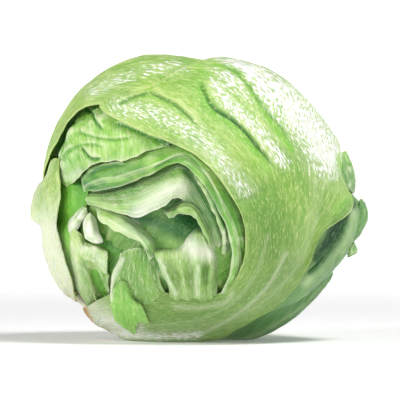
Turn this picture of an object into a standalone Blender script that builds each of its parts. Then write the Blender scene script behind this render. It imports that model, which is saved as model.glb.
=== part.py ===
"""Iceberg lettuce: a dense head with its wrapped outer leaves, lying on its side.

Every leaf is a smooth net of points, laid over the rounded skin of the head.
X runs to the right of the photograph, Y away from the camera and Z up. The head's
cut stem points down to the left and its crown up to the right.
"""

import math

import bmesh
import bpy
import numpy as np

# Driving dimensions, in metres
MM = 0.001
HEAD_WIDTH = 0.170
CENTRE_HEIGHT = 0.0713
FRONT_DEPTH = 0.0748
BACK_DEPTH = 0.0742
FLOOR_BLEND = 0.002
BLADE = 0.0009
INNER_BLADE = 0.0015
STEM_RADIUS = 0.0125
STEM_START = 0.0575
STEM_REACH = 0.0795
STEM_SIDES = 24
CORE_DEPTH = 0.0085
MEAN_RADIUS = 0.080
CORE_STEM_FACE = 0.0570
CORE_FLOOR = 0.0060
CORE_SUBDIVISIONS = 4

# The photograph's frame: the head is 334 of its pixels wide
PHOTO_CENTRE = (199.0, 200.0)
PIXEL = HEAD_WIDTH / 334
FRONT = -1.0
BACK = 1.0

# Skin radius in millimetres at every 30 degrees of the front view, from +X towards +Z
SKIN_RADII = (80.0, 75.0, 74.5, 72.5, 79.0, 81.0, 80.0, 82.5, 80.5, 75.5, 77.0, 79.5)

# Hollows of the opening: pixels right of and below the head's centre, reach, extra depth in mm
OPENING_HOLLOWS = ((-60, 20, 75, 3.0), (0, 10, 26, 9.0))

# From the stem to the crown
AXIS = np.array([0.673, 0.0, 0.740])


# Nets of the wrapped leaves: rows run from the stem to the tip, and each point is
# (pixel across, pixel down, side or depth Y in mm, height above the skin in mm)
TOP_LEAF = (
    ((78, 302, 13, -1), (80, 304, 15, -1), (83, 307, 17, -1), (86, 310, 18, -1), (90, 313, 19, -1)),
    ((60, 264, 11, 0), (62, 262, 18, 0), (68, 258, BACK, 0), (80, 257, BACK, 0), (98, 262, BACK, 0)),
    ((47, 224, 9, 0), (49, 220, 18, 0), (58, 214, BACK, 0), (76, 209, BACK, 0), (100, 212, BACK, 0)),
    ((44, 188, 5, 0), (46, 184, 14, 0), (56, 176, BACK, 0), (77, 168, BACK, 0), (108, 166, BACK, 0)),
    ((58, 147, FRONT, 1), (54, 149, -6, 1), (54, 145, 10, 1), (78, 133, BACK, 0), (119, 126, BACK, 0)),
    ((73, 119, FRONT, 1), (68, 116, FRONT, 1), (67, 112, 4, 1), (92, 98, BACK, 0), (138, 102, BACK, 0)),
    ((93, 107, FRONT, 1), (90, 93, FRONT, 2), (92, 81, 4, 2), (118, 80, BACK, 0), (158, 95, BACK, 0)),
    ((125, 102, FRONT, -1), (125, 82, FRONT, 1), (128, 65, 4, 2), (150, 72, BACK, 0), (182, 93, BACK, 0)),
    ((165, 120, FRONT, -3), (165, 90, FRONT, -1), (165, 59, 4, 1), (182, 72, BACK, 0), (205, 98, BACK, 0)),
    (
        (200, 135, FRONT, -3), (203, 102, FRONT, -3), (208, 66, 4, -2), (213, 80, BACK, -2),
        (220, 98, BACK, -1),
    ),
)
LEFT_LEAF = (
    ((79, 300, -15, 0), (72, 295, -11, 0), (68, 291, -5, 0), (69, 292, 2, -1), (73, 297, 8, -3)),
    ((72, 276, FRONT, 0), (65, 277, FRONT, 1), (59, 278, -4, 1), (58, 276, 3, -1), (61, 272, 9, -3)),
    ((63, 246, FRONT, 0), (56, 247, FRONT, 1), (50, 248, -4, 1), (49, 246, 3, -1), (52, 242, 10, -3)),
    ((57, 215, FRONT, 0), (50, 217, FRONT, 1), (41, 218, -5, 2), (42, 216, 1, -1), (46, 212, 8, -3)),
    ((62, 193, FRONT, 0), (51, 197, FRONT, 2), (36, 202, -7, 4), (40, 199, 0, -1), (44, 195, 6, -3)),
    ((61, 172, FRONT, 0), (52, 174, FRONT, 0), (43, 178, -8, -1.5), (43, 176, -1, -2), (45, 173, 5, -3)),
    (
        (59, 158, FRONT, -1.3), (55, 157, FRONT, -1.5), (49, 160, -8, -2.2), (49, 158, -1, -2.6),
        (50, 155, 5, -3),
    ),
)
BODY_LEAF = (
    ((84, 306, -15, 0), (88, 311, -16, 1), (97, 319, -14, 1), (105, 327, -11, 0), (114, 336, -2, 0)),
    (
        (112, 296, FRONT, -1), (115, 306, FRONT, 0), (120, 317, FRONT, 0), (128, 328, FRONT, 0),
        (141, 338, -9, 0),
    ),
    (
        (165, 303, FRONT, -1), (168, 311, FRONT, 0), (173, 321, FRONT, 0), (182, 331, FRONT, 0),
        (196, 340, -14, 0),
    ),
    (
        (222, 303, FRONT, -1), (227, 308, FRONT, 0), (232, 312, FRONT, 0), (237, 317, FRONT, 0),
        (243, 323, FRONT, 0),
    ),
    (
        (243, 262, FRONT, 0), (256, 272, FRONT, 1), (268, 281, FRONT, 1), (276, 288, FRONT, 1),
        (283, 294, FRONT, 1),
    ),
    (
        (245, 231, FRONT, 1), (265, 240, FRONT, 1), (284, 250, FRONT, 1), (300, 257, FRONT, 1),
        (308, 259, FRONT, 1),
    ),
    (
        (238, 206, FRONT, 2), (262, 212, FRONT, 1), (290, 220, FRONT, 1), (311, 226, FRONT, 1),
        (319, 230, FRONT, 1.5),
    ),
    (
        (222, 181, FRONT, 2), (255, 186, FRONT, 1), (290, 193, FRONT, 1), (325, 196, FRONT, 1.5),
        (347, 204, FRONT, 2.5),
    ),
    (
        (199, 157, FRONT, 2), (240, 158, FRONT, 1), (285, 162, FRONT, 1), (325, 165, FRONT, 1),
        (339, 176, FRONT, 1),
    ),
    (
        (171, 143, FRONT, 2), (212, 128, FRONT, 1), (265, 128, FRONT, 1), (312, 133, FRONT, 1),
        (334, 148, -6, 1),
    ),
    ((138, 129, FRONT, 2), (188, 104, FRONT, 1), (248, 96, FRONT, 1), (302, 104, 5, 1), (302, 134, BACK, 1)),
    ((108, 114, FRONT, 2), (160, 95, FRONT, 2), (220, 75, FRONT, 1), (268, 78, 8, 1), (277, 112, BACK, 1)),
    ((104, 104, FRONT, 2), (150, 91, FRONT, 2), (190, 69, FRONT, 2), (226, 70, 4, 1), (242, 84, BACK, 1)),
)
FOLD_LEAF = (
    (
        (242, 298, FRONT, -5), (246, 303, FRONT, -4.5), (249, 307, FRONT, -3.5), (251, 310, FRONT, -3),
        (254, 314, FRONT, -2), (256, 317, FRONT, -3),
    ),
    (
        (256, 285, FRONT, -5), (262, 291, FRONT, -4), (268, 297, FRONT, -3), (272, 302, FRONT, -2),
        (276, 307, FRONT, -1), (278, 311, FRONT, -3),
    ),
    (
        (277, 266, FRONT, -5), (285, 274, FRONT, -4), (292, 281, FRONT, -3.5), (297, 287, FRONT, -1),
        (300, 296, FRONT, -1), (301, 303, FRONT, -3),
    ),
    (
        (298, 243, FRONT, -5), (307, 251, FRONT, -3.5), (315, 258, FRONT, -4.5), (321, 265, FRONT, 1),
        (325, 277, FRONT, 0), (324, 285, FRONT, -2),
    ),
    (
        (315, 216, FRONT, -5), (326, 225, FRONT, -3), (334, 233, FRONT, -4.5), (341, 241, FRONT, 2),
        (345, 254, FRONT, 0.5), (341, 264, -5, -2),
    ),
    (
        (324, 188, FRONT, -5), (337, 200, FRONT, -4), (344, 208, FRONT, -4), (350, 215, FRONT, 2),
        (354, 231, -4, 1.5), (354, 243, 2, 2),
    ),
    (
        (328, 158, FRONT, -6), (340, 172, FRONT, -5), (348, 184, FRONT, -4), (354, 197, -6, 1),
        (360, 205, 0, 2), (364, 217, 6, 4),
    ),
)
UNDER_LEAF = (
    ((118, 335, -6, -5), (116, 333, 2, -5), (113, 330, 9, -5), (110, 327, 14, -5), (107, 324, 17, -5)),
    ((160, 334, FRONT, -6), (160, 340, -20, -4), (158, 340, 4, 0), (155, 338, 26, 0), (148, 325, BACK, -2)),
    ((214, 330, FRONT, -7), (224, 336, -26, -4), (226, 340, -4, 0), (222, 340, 22, 0), (212, 325, BACK, -2)),
    ((252, 301, FRONT, -7), (274, 317, -28, -5), (281, 331, -8, -1), (278, 332, 16, 0), (262, 312, BACK, -2)),
    ((284, 272, FRONT, -7), (304, 303, -20, -6), (311, 308, -4, -2), (314, 304, 16, 0), (298, 285, BACK, -2)),
    ((306, 244, FRONT, -7), (328, 279, -15, -6), (338, 276, 0, -3), (340, 271, 15, 0), (322, 250, BACK, -2)),
)
BACK_LEAF = (
    ((84, 300, 17, -3), (87, 303, 19, -3), (91, 308, 20, -3), (96, 314, 19, -3), (101, 319, 17, -3)),
    (
        (84, 253, BACK, -4), (104, 268, BACK, -1), (122, 283, BACK, 0), (138, 299, BACK, -1),
        (152, 314, BACK, -2),
    ),
    (
        (88, 202, BACK, -4), (118, 223, BACK, -1), (148, 245, BACK, 1), (172, 268, BACK, 0),
        (192, 293, BACK, -2),
    ),
    (
        (98, 157, BACK, -4), (141, 176, BACK, -1), (178, 204, BACK, 1), (208, 235, BACK, 0),
        (232, 268, BACK, -2),
    ),
    (
        (126, 118, BACK, -4), (170, 135, BACK, -1), (211, 163, BACK, 1), (245, 198, BACK, 0),
        (270, 235, BACK, -2),
    ),
    (
        (168, 88, BACK, -4), (208, 104, BACK, -3), (245, 130, BACK, -2), (279, 167, BACK, -2),
        (298, 204, BACK, -2),
    ),
    (
        (206, 82, BACK, -5), (246, 88, BACK, -4), (280, 112, BACK, -4), (305, 145, BACK, -3),
        (315, 180, BACK, -3),
    ),
)
SIDE_LEAF = (
    ((108, 308, 24, -7), (112, 313, 23, -7), (116, 319, 22, -7), (120, 325, 20, -7), (124, 330, 17, -7)),
    (
        (128, 292, BACK, -7), (142, 306, BACK, -5), (156, 319, BACK, -4), (166, 330, BACK, -4),
        (172, 336, 26, -4),
    ),
    (
        (170, 258, BACK, -7), (190, 278, BACK, -5), (208, 297, BACK, -3), (225, 312, BACK, -3),
        (238, 322, BACK, -4),
    ),
    (
        (210, 218, BACK, -7), (235, 240, BACK, -5), (258, 262, BACK, -3), (277, 280, BACK, -3),
        (290, 297, BACK, -5),
    ),
    (
        (250, 176, BACK, -7), (277, 198, BACK, -5), (300, 220, BACK, -3), (318, 240, BACK, -4),
        (332, 260, 16, -5),
    ),
    ((285, 145, BACK, -7), (308, 164, BACK, -6), (328, 184, BACK, -5), (346, 212, 26, -4), (350, 240, 8, -5)),
    (
        (310, 136, BACK, -7), (328, 148, BACK, -6), (343, 167, BACK, -5), (353, 188, 22, -4),
        (357, 212, 13, -4),
    ),
)

# Nets of the torn leaves inside the opening: (pixel across, pixel down, depth below the skin in mm)
POUCH_LEAF = (
    (
        (53, 167, 7), (59, 143, 5), (70, 117, 4), (89, 99, 5), (112, 90, 5), (138, 92, 6), (162, 109, 6.5),
        (188, 132, 7.5),
    ),
    (
        (56, 173, 6), (63, 149, 3), (74, 127, 1.5), (92, 112, 3.5), (112, 107, 2.5), (134, 108, 4),
        (155, 121, 5), (180, 140, 6),
    ),
    (
        (58, 177, 4.5), (66, 155, 1), (78, 138, 0.5), (93, 127, 1), (111, 120, 0.5), (131, 120, 1),
        (150, 129, 2), (175, 142, 5),
    ),
    (
        (61, 180, 3), (69, 163, 0.5), (82, 149, 1), (96, 138, 0.5), (111, 133, 0), (129, 131, 0),
        (147, 134, 1), (171, 143, 4.5),
    ),
    (
        (65, 184, 3), (75, 172, 1), (86, 160, 2), (99, 151, 1), (113, 147, 0.5), (130, 144, 0.5),
        (148, 141, 1.5), (169, 144, 4.5),
    ),
    (
        (68, 187, 4), (79, 180, 2.5), (89, 170, 3), (101, 164, 2), (115, 162, 1.5), (131, 160, 1.5),
        (149, 152, 2.5), (172, 145, 5.5),
    ),
)
ROLL_LEAF = (
    (
        (80, 172, 8), (98, 157, 8), (128, 149, 8), (152, 141, 8), (183, 134, 8), (216, 154, 8), (238, 185, 8),
        (254, 222, 8), (255, 262, 9), (238, 300, 13),
    ),
    (
        (83, 177, 4.5), (100, 166, 4), (128, 161, 3.5), (153, 152, 4), (183, 145, 4.5), (210, 162, 4.5),
        (230, 189, 4), (244, 223, 4), (248, 262, 5), (235, 298, 9),
    ),
    (
        (85, 183, 4), (102, 174, 2.5), (128, 169, 2), (155, 160, 2.5), (182, 151, 3), (205, 167, 3),
        (223, 193, 3), (238, 226, 2.5), (242, 262, 3), (230, 298, 6),
    ),
    (
        (86, 188, 4.5), (104, 184, 3), (129, 178, 2.5), (155, 167, 3), (180, 158, 3.5), (199, 172, 3.5),
        (217, 198, 3), (232, 228, 2.5), (235, 262, 2), (224, 297, 4),
    ),
    (
        (87, 191, 5.5), (106, 190, 5), (130, 184, 5), (155, 172, 5), (178, 163, 5.5), (195, 175, 5.5),
        (212, 201, 5), (226, 231, 4), (227, 262, 3.5), (218, 295, 5),
    ),
)
RIBBON_LEAF = (
    ((200, 164, 11), (212, 183, 10), (222, 205, 10), (230, 229, 10), (229, 250, 10)),
    ((196, 171, 7), (207, 187, 6.5), (217, 207, 6.5), (225, 231, 6.5), (224, 251, 7)),
    ((191, 175, 8), (202, 191, 7.5), (212, 211, 7.5), (220, 233, 7.5), (220, 252, 8)),
)
BRIGHT_LEAF = (
    (
        (84, 190, 11), (98, 190, 11), (115, 188, 11), (135, 180, 11), (155, 169, 11), (172, 161, 11),
        (186, 158, 11), (199, 170, 11), (209, 187, 11), (219, 210, 11), (227, 236, 11),
    ),
    (
        (86, 194, 8), (99, 194, 8), (116, 192, 8), (136, 186, 8), (156, 178, 8), (172, 170, 8), (186, 167, 8),
        (195, 177, 8.5), (205, 195, 8.5), (215, 216, 8.5), (223, 240, 9),
    ),
    (
        (87, 197, 7.5), (100, 198, 7), (117, 198, 6.5), (137, 194, 6), (156, 187, 5.5), (172, 180, 5.5),
        (184, 176, 6), (191, 186, 7.5), (201, 203, 8), (211, 221, 8), (220, 243, 8.5),
    ),
    (
        (88, 200, 7.5), (102, 202, 6.5), (119, 205, 5.5), (138, 204, 5), (156, 197, 4.5), (170, 191, 5),
        (181, 187, 6), (187, 194, 8), (198, 208, 8.5), (208, 225, 8.5), (217, 246, 9),
    ),
    (
        (89, 203, 8.5), (104, 207, 7.5), (121, 213, 6.5), (139, 217, 6), (156, 210, 6), (169, 203, 7),
        (178, 197, 8), (184, 200, 9.5), (194, 212, 9.5), (204, 228, 9.5), (214, 249, 9.5),
    ),
)
LIP_LEAF = (
    (
        (162, 207, 14), (173, 202, 13), (184, 198, 12), (194, 199, 12), (203, 208, 12), (210, 222, 12),
        (215, 240, 11), (218, 262, 10),
    ),
    (
        (165, 210, 11), (175, 205, 10), (185, 202, 9.5), (194, 204, 9), (202, 213, 9), (208, 227, 9),
        (213, 243, 9), (216, 262, 9),
    ),
    (
        (168, 213, 9.5), (177, 209, 8), (186, 208, 7), (194, 210, 7), (200, 218, 7), (206, 230, 7),
        (210, 245, 7.5), (213, 262, 8),
    ),
    (
        (170, 216, 11), (179, 213, 10), (187, 213, 9.5), (194, 217, 9.5), (199, 225, 9.5), (203, 235, 9.5),
        (207, 248, 9.5), (210, 262, 9.5),
    ),
)
TONGUE_LEAF = (
    (
        (97, 205, 10), (108, 203, 11), (120, 208, 11), (133, 215, 12), (146, 226, 12), (156, 238, 12),
        (161, 252, 12),
    ),
    (
        (99, 209, 5), (109, 210, 5.5), (121, 216, 5.5), (133, 223, 5.5), (144, 232, 5.5), (151, 243, 6.5),
        (155, 254, 8),
    ),
    (
        (100, 214, 4), (110, 217, 3.5), (121, 223, 3), (132, 230, 3), (142, 236, 3.5), (149, 245, 4.5),
        (152, 256, 7),
    ),
    (
        (102, 220, 5), (111, 226, 4), (121, 232, 4), (131, 237, 4), (140, 239, 4.5), (146, 247, 6),
        (149, 258, 8.5),
    ),
)
GLOW_LEAF = (
    ((94, 224, 12), (108, 228, 12), (126, 234, 13), (148, 244, 14)),
    ((94, 243, 9), (106, 245, 9), (121, 249, 10), (142, 255, 11)),
    ((89, 260, 6.5), (101, 262, 7.5), (112, 264, 8), (128, 271, 9)),
    ((93, 275, 6), (103, 277, 7.5), (112, 279, 8), (124, 285, 8)),
    ((98, 290, 6), (105, 292, 6.5), (113, 294, 7), (123, 299, 8)),
    ((99, 304, 8), (106, 306, 8), (114, 307, 8), (123, 309, 8)),
)
PLEAT_LEAF = (
    (
        (152, 244, 14), (160, 242, 15), (170, 240, 15), (180, 238, 14), (187, 232, 14), (195, 226, 14),
        (203, 226, 14), (210, 238, 13), (218, 250, 12),
    ),
    (
        (154, 249, 8), (161, 251, 6), (171, 252, 6), (182, 249, 6), (189, 241, 7), (196, 233, 6),
        (204, 235, 7), (211, 247, 7), (217, 255, 9),
    ),
    (
        (157, 256, 7), (164, 259, 5), (172, 260, 7), (182, 258, 5), (190, 255, 6), (197, 251, 4),
        (205, 253, 7), (211, 257, 5), (217, 261, 9),
    ),
    (
        (162, 268, 7), (168, 270, 4), (175, 271, 8), (183, 271, 6), (191, 270, 9), (199, 269, 3),
        (205, 270, 8), (210, 270, 4), (217, 272, 9),
    ),
    (
        (169, 284, 7), (175, 285, 4), (180, 285, 7), (186, 285, 5), (193, 285, 9), (200, 284, 3),
        (205, 284, 7), (209, 284, 4), (217, 284, 8),
    ),
    (
        (175, 298, 6), (180, 298, 4), (184, 299, 6), (189, 299, 5), (194, 299, 7), (200, 299, 3),
        (205, 299, 6), (210, 298, 4), (217, 297, 6),
    ),
    (
        (180, 311, 6), (184, 312, 5), (188, 312, 6), (192, 312, 5), (197, 312, 6), (202, 312, 5),
        (206, 311, 6), (211, 310, 5), (218, 308, 6),
    ),
)
SMOOTH_LEAF = (
    ((123, 251, 4.5), (131, 246, 7), (143, 245, 9.5), (157, 250, 12)),
    ((119, 261, 3), (128, 261, 4.5), (142, 264, 7), (159, 267, 10)),
    ((113, 274, 2), (124, 276, 3), (141, 278, 5.5), (162, 281, 9)),
    ((112, 289, 2), (123, 290, 3), (142, 291, 5), (167, 293, 8)),
    ((112, 304, 3), (124, 305, 3), (142, 306, 4.5), (172, 306, 7)),
    ((113, 316, 4), (125, 317, 4), (143, 317, 5), (173, 316, 7)),
)
TORN_FLAP = (
    ((117, 281, 1), (121, 280, 1), (126, 280, 1), (131, 281, 1.5), (134, 283, 2)),
    ((114, 288, -1), (119, 288, -1), (126, 289, -0.5), (133, 290, 0), (138, 292, 1)),
    ((112, 298, -2), (119, 300, -2.5), (128, 301, -2), (136, 301, -2), (142, 301, -1)),
    ((113, 309, -3), (121, 313, -4), (130, 316, -3), (137, 312, -3), (147, 311, -2)),
    ((117, 318, -3), (126, 326, -4), (136, 333, -4), (139, 318, -3), (151, 322, -3)),
)
CHIP_LEAF = (
    ((84, 203, 9), (88, 206, 5), (91, 211, 8)),
    ((76, 210, 8), (81, 214, 4), (85, 219, 7)),
    ((67, 221, 8), (73, 224, 4), (79, 229, 7)),
    ((64, 229, 8), (70, 232, 5), (76, 234, 8)),
)
PUFF_LEAF = (
    ((87, 212, 9), (92, 211, 5), (99, 214, 9)),
    ((85, 221, 6), (92, 221, 2), (100, 223, 7)),
    ((86, 232, 5), (94, 232, 2), (103, 233, 6)),
    ((88, 240, 8), (98, 241, 5), (110, 243, 8)),
)
FRILL_LEAF = (
    ((79, 240, 9), (88, 240, 7), (98, 243, 7), (110, 247, 9)),
    ((80, 246, 5), (89, 245, 3), (99, 247, 3), (111, 251, 6)),
    ((79, 256, 4), (87, 257, 3), (97, 261, 6), (109, 262, 4)),
    ((84, 264, 4), (91, 268, 6), (100, 272, 8), (110, 274, 5)),
    ((91, 278, 4), (97, 281, 7), (103, 284, 8), (110, 285, 6)),
    ((96, 290, 4), (100, 292, 6), (105, 294, 7), (111, 296, 6)),
    ((97, 301, 3), (101, 303, 5), (106, 305, 6), (111, 306, 5)),
)
SECOND_RIB = (
    ((66, 226, 8), (70, 227, 6), (76, 228, 6), (82, 231, 7), (87, 236, 9)),
    ((68, 240, 5.5), (72, 240, 4), (78, 241, 4), (84, 243, 5), (89, 250, 8)),
    ((70, 256, 4.5), (75, 256, 3), (81, 257, 3), (88, 261, 5), (93, 267, 7)),
    ((74, 273, 3.5), (79, 273, 2.5), (85, 274, 3), (91, 276, 4), (95, 281, 6)),
    ((79, 290, 3), (84, 290, 2.5), (89, 290, 2.5), (94, 291, 3.5), (98, 294, 5)),
    ((84, 304, 3), (87, 305, 2.5), (90, 306, 2.5), (93, 305, 3.5), (97, 303, 5)),
)
SHADE_LEAF = (
    ((52, 170, 5), (64, 172, 6), (78, 174, 8), (92, 176, 10)),
    ((54, 184, 4), (66, 186, 4.5), (78, 187, 5.5), (90, 189, 8)),
    ((55, 201, 4.5), (66, 203, 4.5), (77, 204, 5.5), (88, 206, 8)),
    ((53, 215, 5), (61, 217, 5.5), (70, 220, 6.5), (80, 224, 8)),
    ((55, 234, 5), (61, 236, 6), (68, 238, 7), (76, 242, 8)),
    ((62, 262, 4.5), (68, 263, 5.5), (74, 265, 6.5), (80, 268, 7.5)),
    ((71, 288, 4), (75, 289, 5), (80, 290, 6), (85, 290, 7)),
)


OUTER_LEAVES = (
    ("top_leaf", TOP_LEAF, (24, 12), False),
    ("left_leaf", LEFT_LEAF, (14, 8), False),
    ("body_leaf", BODY_LEAF, (28, 14), False),
    ("fold_leaf", FOLD_LEAF, (16, 10), False),
    ("under_leaf", UNDER_LEAF, (14, 10), True),
    ("back_leaf", BACK_LEAF, (18, 12), False),
    ("side_leaf", SIDE_LEAF, (16, 10), False),
)
INNER_LEAVES = (
    ("pouch_leaf", POUCH_LEAF, (8, 14)),
    ("roll_leaf", ROLL_LEAF, (8, 18)),
    ("ribbon_leaf", RIBBON_LEAF, (4, 8)),
    ("bright_leaf", BRIGHT_LEAF, (8, 18)),
    ("lip_leaf", LIP_LEAF, (6, 11)),
    ("tongue_leaf", TONGUE_LEAF, (8, 10)),
    ("pleat_leaf", PLEAT_LEAF, (8, 21)),
    ("glow_leaf", GLOW_LEAF, (8, 5)),
    ("smooth_leaf", SMOOTH_LEAF, (6, 6)),
    ("chip_leaf", CHIP_LEAF, (6, 4)),
    ("puff_leaf", PUFF_LEAF, (6, 4)),
    ("frill_leaf", FRILL_LEAF, (10, 5)),
    ("second_rib", SECOND_RIB, (8, 5)),
    ("shade_leaf", SHADE_LEAF, (8, 4)),
)


def unit(vectors):
    """The vectors at length one."""
    return vectors / np.linalg.norm(vectors, axis=-1, keepdims=True)


def spline(points, steps, closed=False):
    """Catmull-Rom samples through the points, along their first axis."""
    points = np.asarray(points, float)
    count = len(points)
    if closed:
        padded = np.concatenate([points[-1:], points, points[:2]])
        places = np.asarray(steps, float) % count
    else:
        before = 2 * points[:1] - points[1:2]
        after = 2 * points[-1:] - points[-2:-1]
        padded = np.concatenate([before, points, after])
        places = np.clip(np.asarray(steps, float), 0, count - 1)
    whole = np.floor(places).astype(int)
    if not closed:
        whole = np.minimum(whole, count - 2)
    part = (places - whole).reshape((-1,) + (1,) * (points.ndim - 1))
    a, b, c, d = (padded[whole + k] for k in range(4))
    square = (2 * a - 5 * b + 4 * c - d) * part**2
    cube = (3 * b - a - 3 * c + d) * part**3
    return 0.5 * (2 * b + (c - a) * part + square + cube)


def skin_radius(directions):
    """Distance from the head's centre to its skin, which is flat where the head rests."""
    angle = np.arctan2(directions[..., 2], directions[..., 0]) % (2 * math.pi)
    steps = (angle / (2 * math.pi) * len(SKIN_RADII)).ravel()
    side = spline(np.array(SKIN_RADII) * MM, steps, closed=True).reshape(angle.shape)
    depth = np.where(directions[..., 1] < 0, FRONT_DEPTH, BACK_DEPTH)
    across = np.hypot(directions[..., 0], directions[..., 2])
    round_skin = 1 / np.sqrt((across / side) ** 2 + (directions[..., 1] / depth) ** 2)
    floor = CENTRE_HEIGHT / np.maximum(-directions[..., 2], 1e-6)
    near = np.clip(0.5 + 0.5 * (floor - round_skin) / FLOOR_BLEND, 0, 1)
    return floor * (1 - near) + round_skin * near - FLOOR_BLEND * near * (1 - near)


def towards(across, down, side):
    """Direction from the head's centre to a pixel of the front view."""
    x = (across - PHOTO_CENTRE[0]) * PIXEL
    z = (PHOTO_CENTRE[1] - down) * PIXEL
    if abs(side) != 1.0:
        return unit(np.array([x, side * MM, z]))
    turn = math.atan2(z, x) % (2 * math.pi)
    step = [turn / (2 * math.pi) * len(SKIN_RADII)]
    rim = spline(np.array(SKIN_RADII) * MM, step, closed=True)[0]
    depth = FRONT_DEPTH if side < 0 else BACK_DEPTH
    share = min(1.0, math.hypot(x, z) / rim)
    return unit(np.array([x, side * depth * math.sqrt(1 - share**2), z]))


def towards_deep(across, down, depth):
    """Direction in which a point that far below the skin is seen at a pixel of the front view."""
    direction = towards(across, down, FRONT)
    x = (across - PHOTO_CENTRE[0]) * PIXEL
    z = (PHOTO_CENTRE[1] - down) * PIXEL
    for _ in range(8):
        radius = float(skin_radius(direction)) - depth * MM
        y = math.sqrt(max(radius**2 - x**2 - z**2, (0.2 * radius) ** 2))
        direction = unit(np.array([x, -y, z]))
    return direction


def net_of(rows, inner=False):
    """Rows of a leaf's net as unit directions, with the height above the skin behind them."""
    made = []
    for row in rows:
        if inner:
            made.append([[*towards_deep(a, d, depth), -depth * MM] for a, d, depth in row])
        else:
            made.append([[*towards(a, d, side), height * MM] for a, d, side, height in row])
    return np.array(made)


def sheet_points(net, cells):
    """The net's surface as a grid of points, cells[0] along the leaf and cells[1] across."""
    along = np.linspace(0, net.shape[0] - 1, cells[0] + 1)
    across = np.linspace(0, net.shape[1] - 1, cells[1] + 1)
    grid = spline(net, along)
    grid = np.swapaxes(spline(np.swapaxes(grid, 0, 1), across), 0, 1)
    directions = unit(grid[..., :3])
    radius = skin_radius(directions) + grid[..., 3]
    points = directions * radius[..., None]
    points[..., 2] = np.maximum(points[..., 2] + CENTRE_HEIGHT, 0)
    return points


def material(name, colour, roughness):
    """A plain Principled material."""
    made = bpy.data.materials.new(name)
    made.use_nodes = True
    shader = made.node_tree.nodes["Principled BSDF"]
    shader.inputs["Base Color"].default_value = (*colour, 1)
    shader.inputs["Roughness"].default_value = roughness
    shader.inputs["Metallic"].default_value = 0.0
    return made


def sheet_object(name, points, collection, finish, thickness=BLADE):
    """A closed leaf blade: a grid laid on the points, its quads split alike, and made solid."""
    rows, columns = points.shape[:2]
    mesh = bpy.data.meshes.new(name)
    shape = bmesh.new()
    bmesh.ops.create_grid(shape, x_segments=rows - 1, y_segments=columns - 1, size=1)
    shape.verts.ensure_lookup_table()
    order = sorted(shape.verts, key=lambda vert: (round(vert.co.x, 5), round(vert.co.y, 5)))
    for vert, place in zip(order, points.reshape(-1, 3)):
        vert.co = place
    bmesh.ops.triangulate(shape, faces=shape.faces[:], quad_method="FIXED")
    shape.normal_update()
    centre = points.reshape(-1, 3).mean(axis=0) - np.array([0, 0, CENTRE_HEIGHT])
    outward = sum(face.normal.dot(centre) * face.calc_area() for face in shape.faces)
    if outward < 0:
        bmesh.ops.reverse_faces(shape, faces=shape.faces[:])
    shape.to_mesh(mesh)
    shape.free()
    made = bpy.data.objects.new(name, mesh)
    collection.objects.link(made)
    mesh.materials.append(finish)
    mesh.shade_smooth()
    solid = made.modifiers.new("Blade", "SOLIDIFY")
    solid.thickness = thickness
    solid.offset = -1
    return made


def core_depth(directions):
    """How far below the skin the solid heart lies: deeper behind the opening at the front left."""
    across = directions[..., 0] * MEAN_RADIUS / PIXEL
    down = -directions[..., 2] * MEAN_RADIUS / PIXEL
    # Only the half that faces the camera has an opening
    front = np.clip(-directions[..., 1] * 4 - 0.6, 0, 1)
    depth = np.full(across.shape, CORE_DEPTH)
    for right, below, reach, extra in OPENING_HOLLOWS:
        away = np.hypot(across - right, down - below) / reach
        depth = depth + front * extra * MM * np.exp(-(away**2))
    return depth


def core_object(collection, finish):
    """The solid heart: a ball pushed in to the core's depth and cut flat over the stem."""
    mesh = bpy.data.meshes.new("heart")
    shape = bmesh.new()
    bmesh.ops.create_icosphere(shape, subdivisions=CORE_SUBDIVISIONS, radius=1)
    directions = unit(np.array([vert.co[:] for vert in shape.verts]))
    radius = skin_radius(directions) - core_depth(directions)
    along = np.maximum(directions @ -AXIS, 1e-6)
    radius = np.minimum(radius, CORE_STEM_FACE / along)
    points = directions * radius[:, None]
    points[:, 2] = np.maximum(points[:, 2] + CENTRE_HEIGHT, CORE_FLOOR)
    for vert, place in zip(shape.verts, points):
        vert.co = place
    shape.to_mesh(mesh)
    shape.free()
    made = bpy.data.objects.new("heart", mesh)
    collection.objects.link(made)
    mesh.materials.append(finish)
    return made


def stem_object(collection, finish):
    """The cut stem: a short butt, a little oval and rounded at its cut rim."""
    mesh = bpy.data.meshes.new("stem_butt")
    shape = bmesh.new()
    rings = ((STEM_START, 1.0), (STEM_REACH - 0.004, 1.0), (STEM_REACH - 0.001, 0.95), (STEM_REACH, 0.87))
    up = np.array([-AXIS[2], 0.0, AXIS[0]])
    side = np.array([0.0, -1.0, 0.0])
    made_rings = []
    for reach, share in rings:
        ring = []
        for step in range(STEM_SIDES):
            turn = 2 * math.pi * step / STEM_SIDES
            radius = STEM_RADIUS * share * (1 + 0.05 * math.sin(3 * turn + 0.5) + 0.03 * math.cos(5 * turn))
            place = -AXIS * reach + (up * math.cos(turn) + side * 1.08 * math.sin(turn)) * radius
            place[2] += CENTRE_HEIGHT
            ring.append(shape.verts.new(place))
        made_rings.append(ring)
    for near, far in zip(made_rings, made_rings[1:]):
        for step in range(STEM_SIDES):
            after = (step + 1) % STEM_SIDES
            shape.faces.new((near[step], near[after], far[after], far[step]))
    shape.faces.new(made_rings[0])
    shape.faces.new(made_rings[-1])
    bmesh.ops.recalc_face_normals(shape, faces=shape.faces[:])
    shape.to_mesh(mesh)
    shape.free()
    made = bpy.data.objects.new("stem_butt", mesh)
    collection.objects.link(made)
    mesh.materials.append(finish)
    return made


def applied(made):
    """Puts the object's modifiers into its mesh."""
    graph = bpy.context.evaluated_depsgraph_get()
    mesh = bpy.data.meshes.new_from_object(made.evaluated_get(graph))
    made.modifiers.clear()
    made.data = mesh


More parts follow.
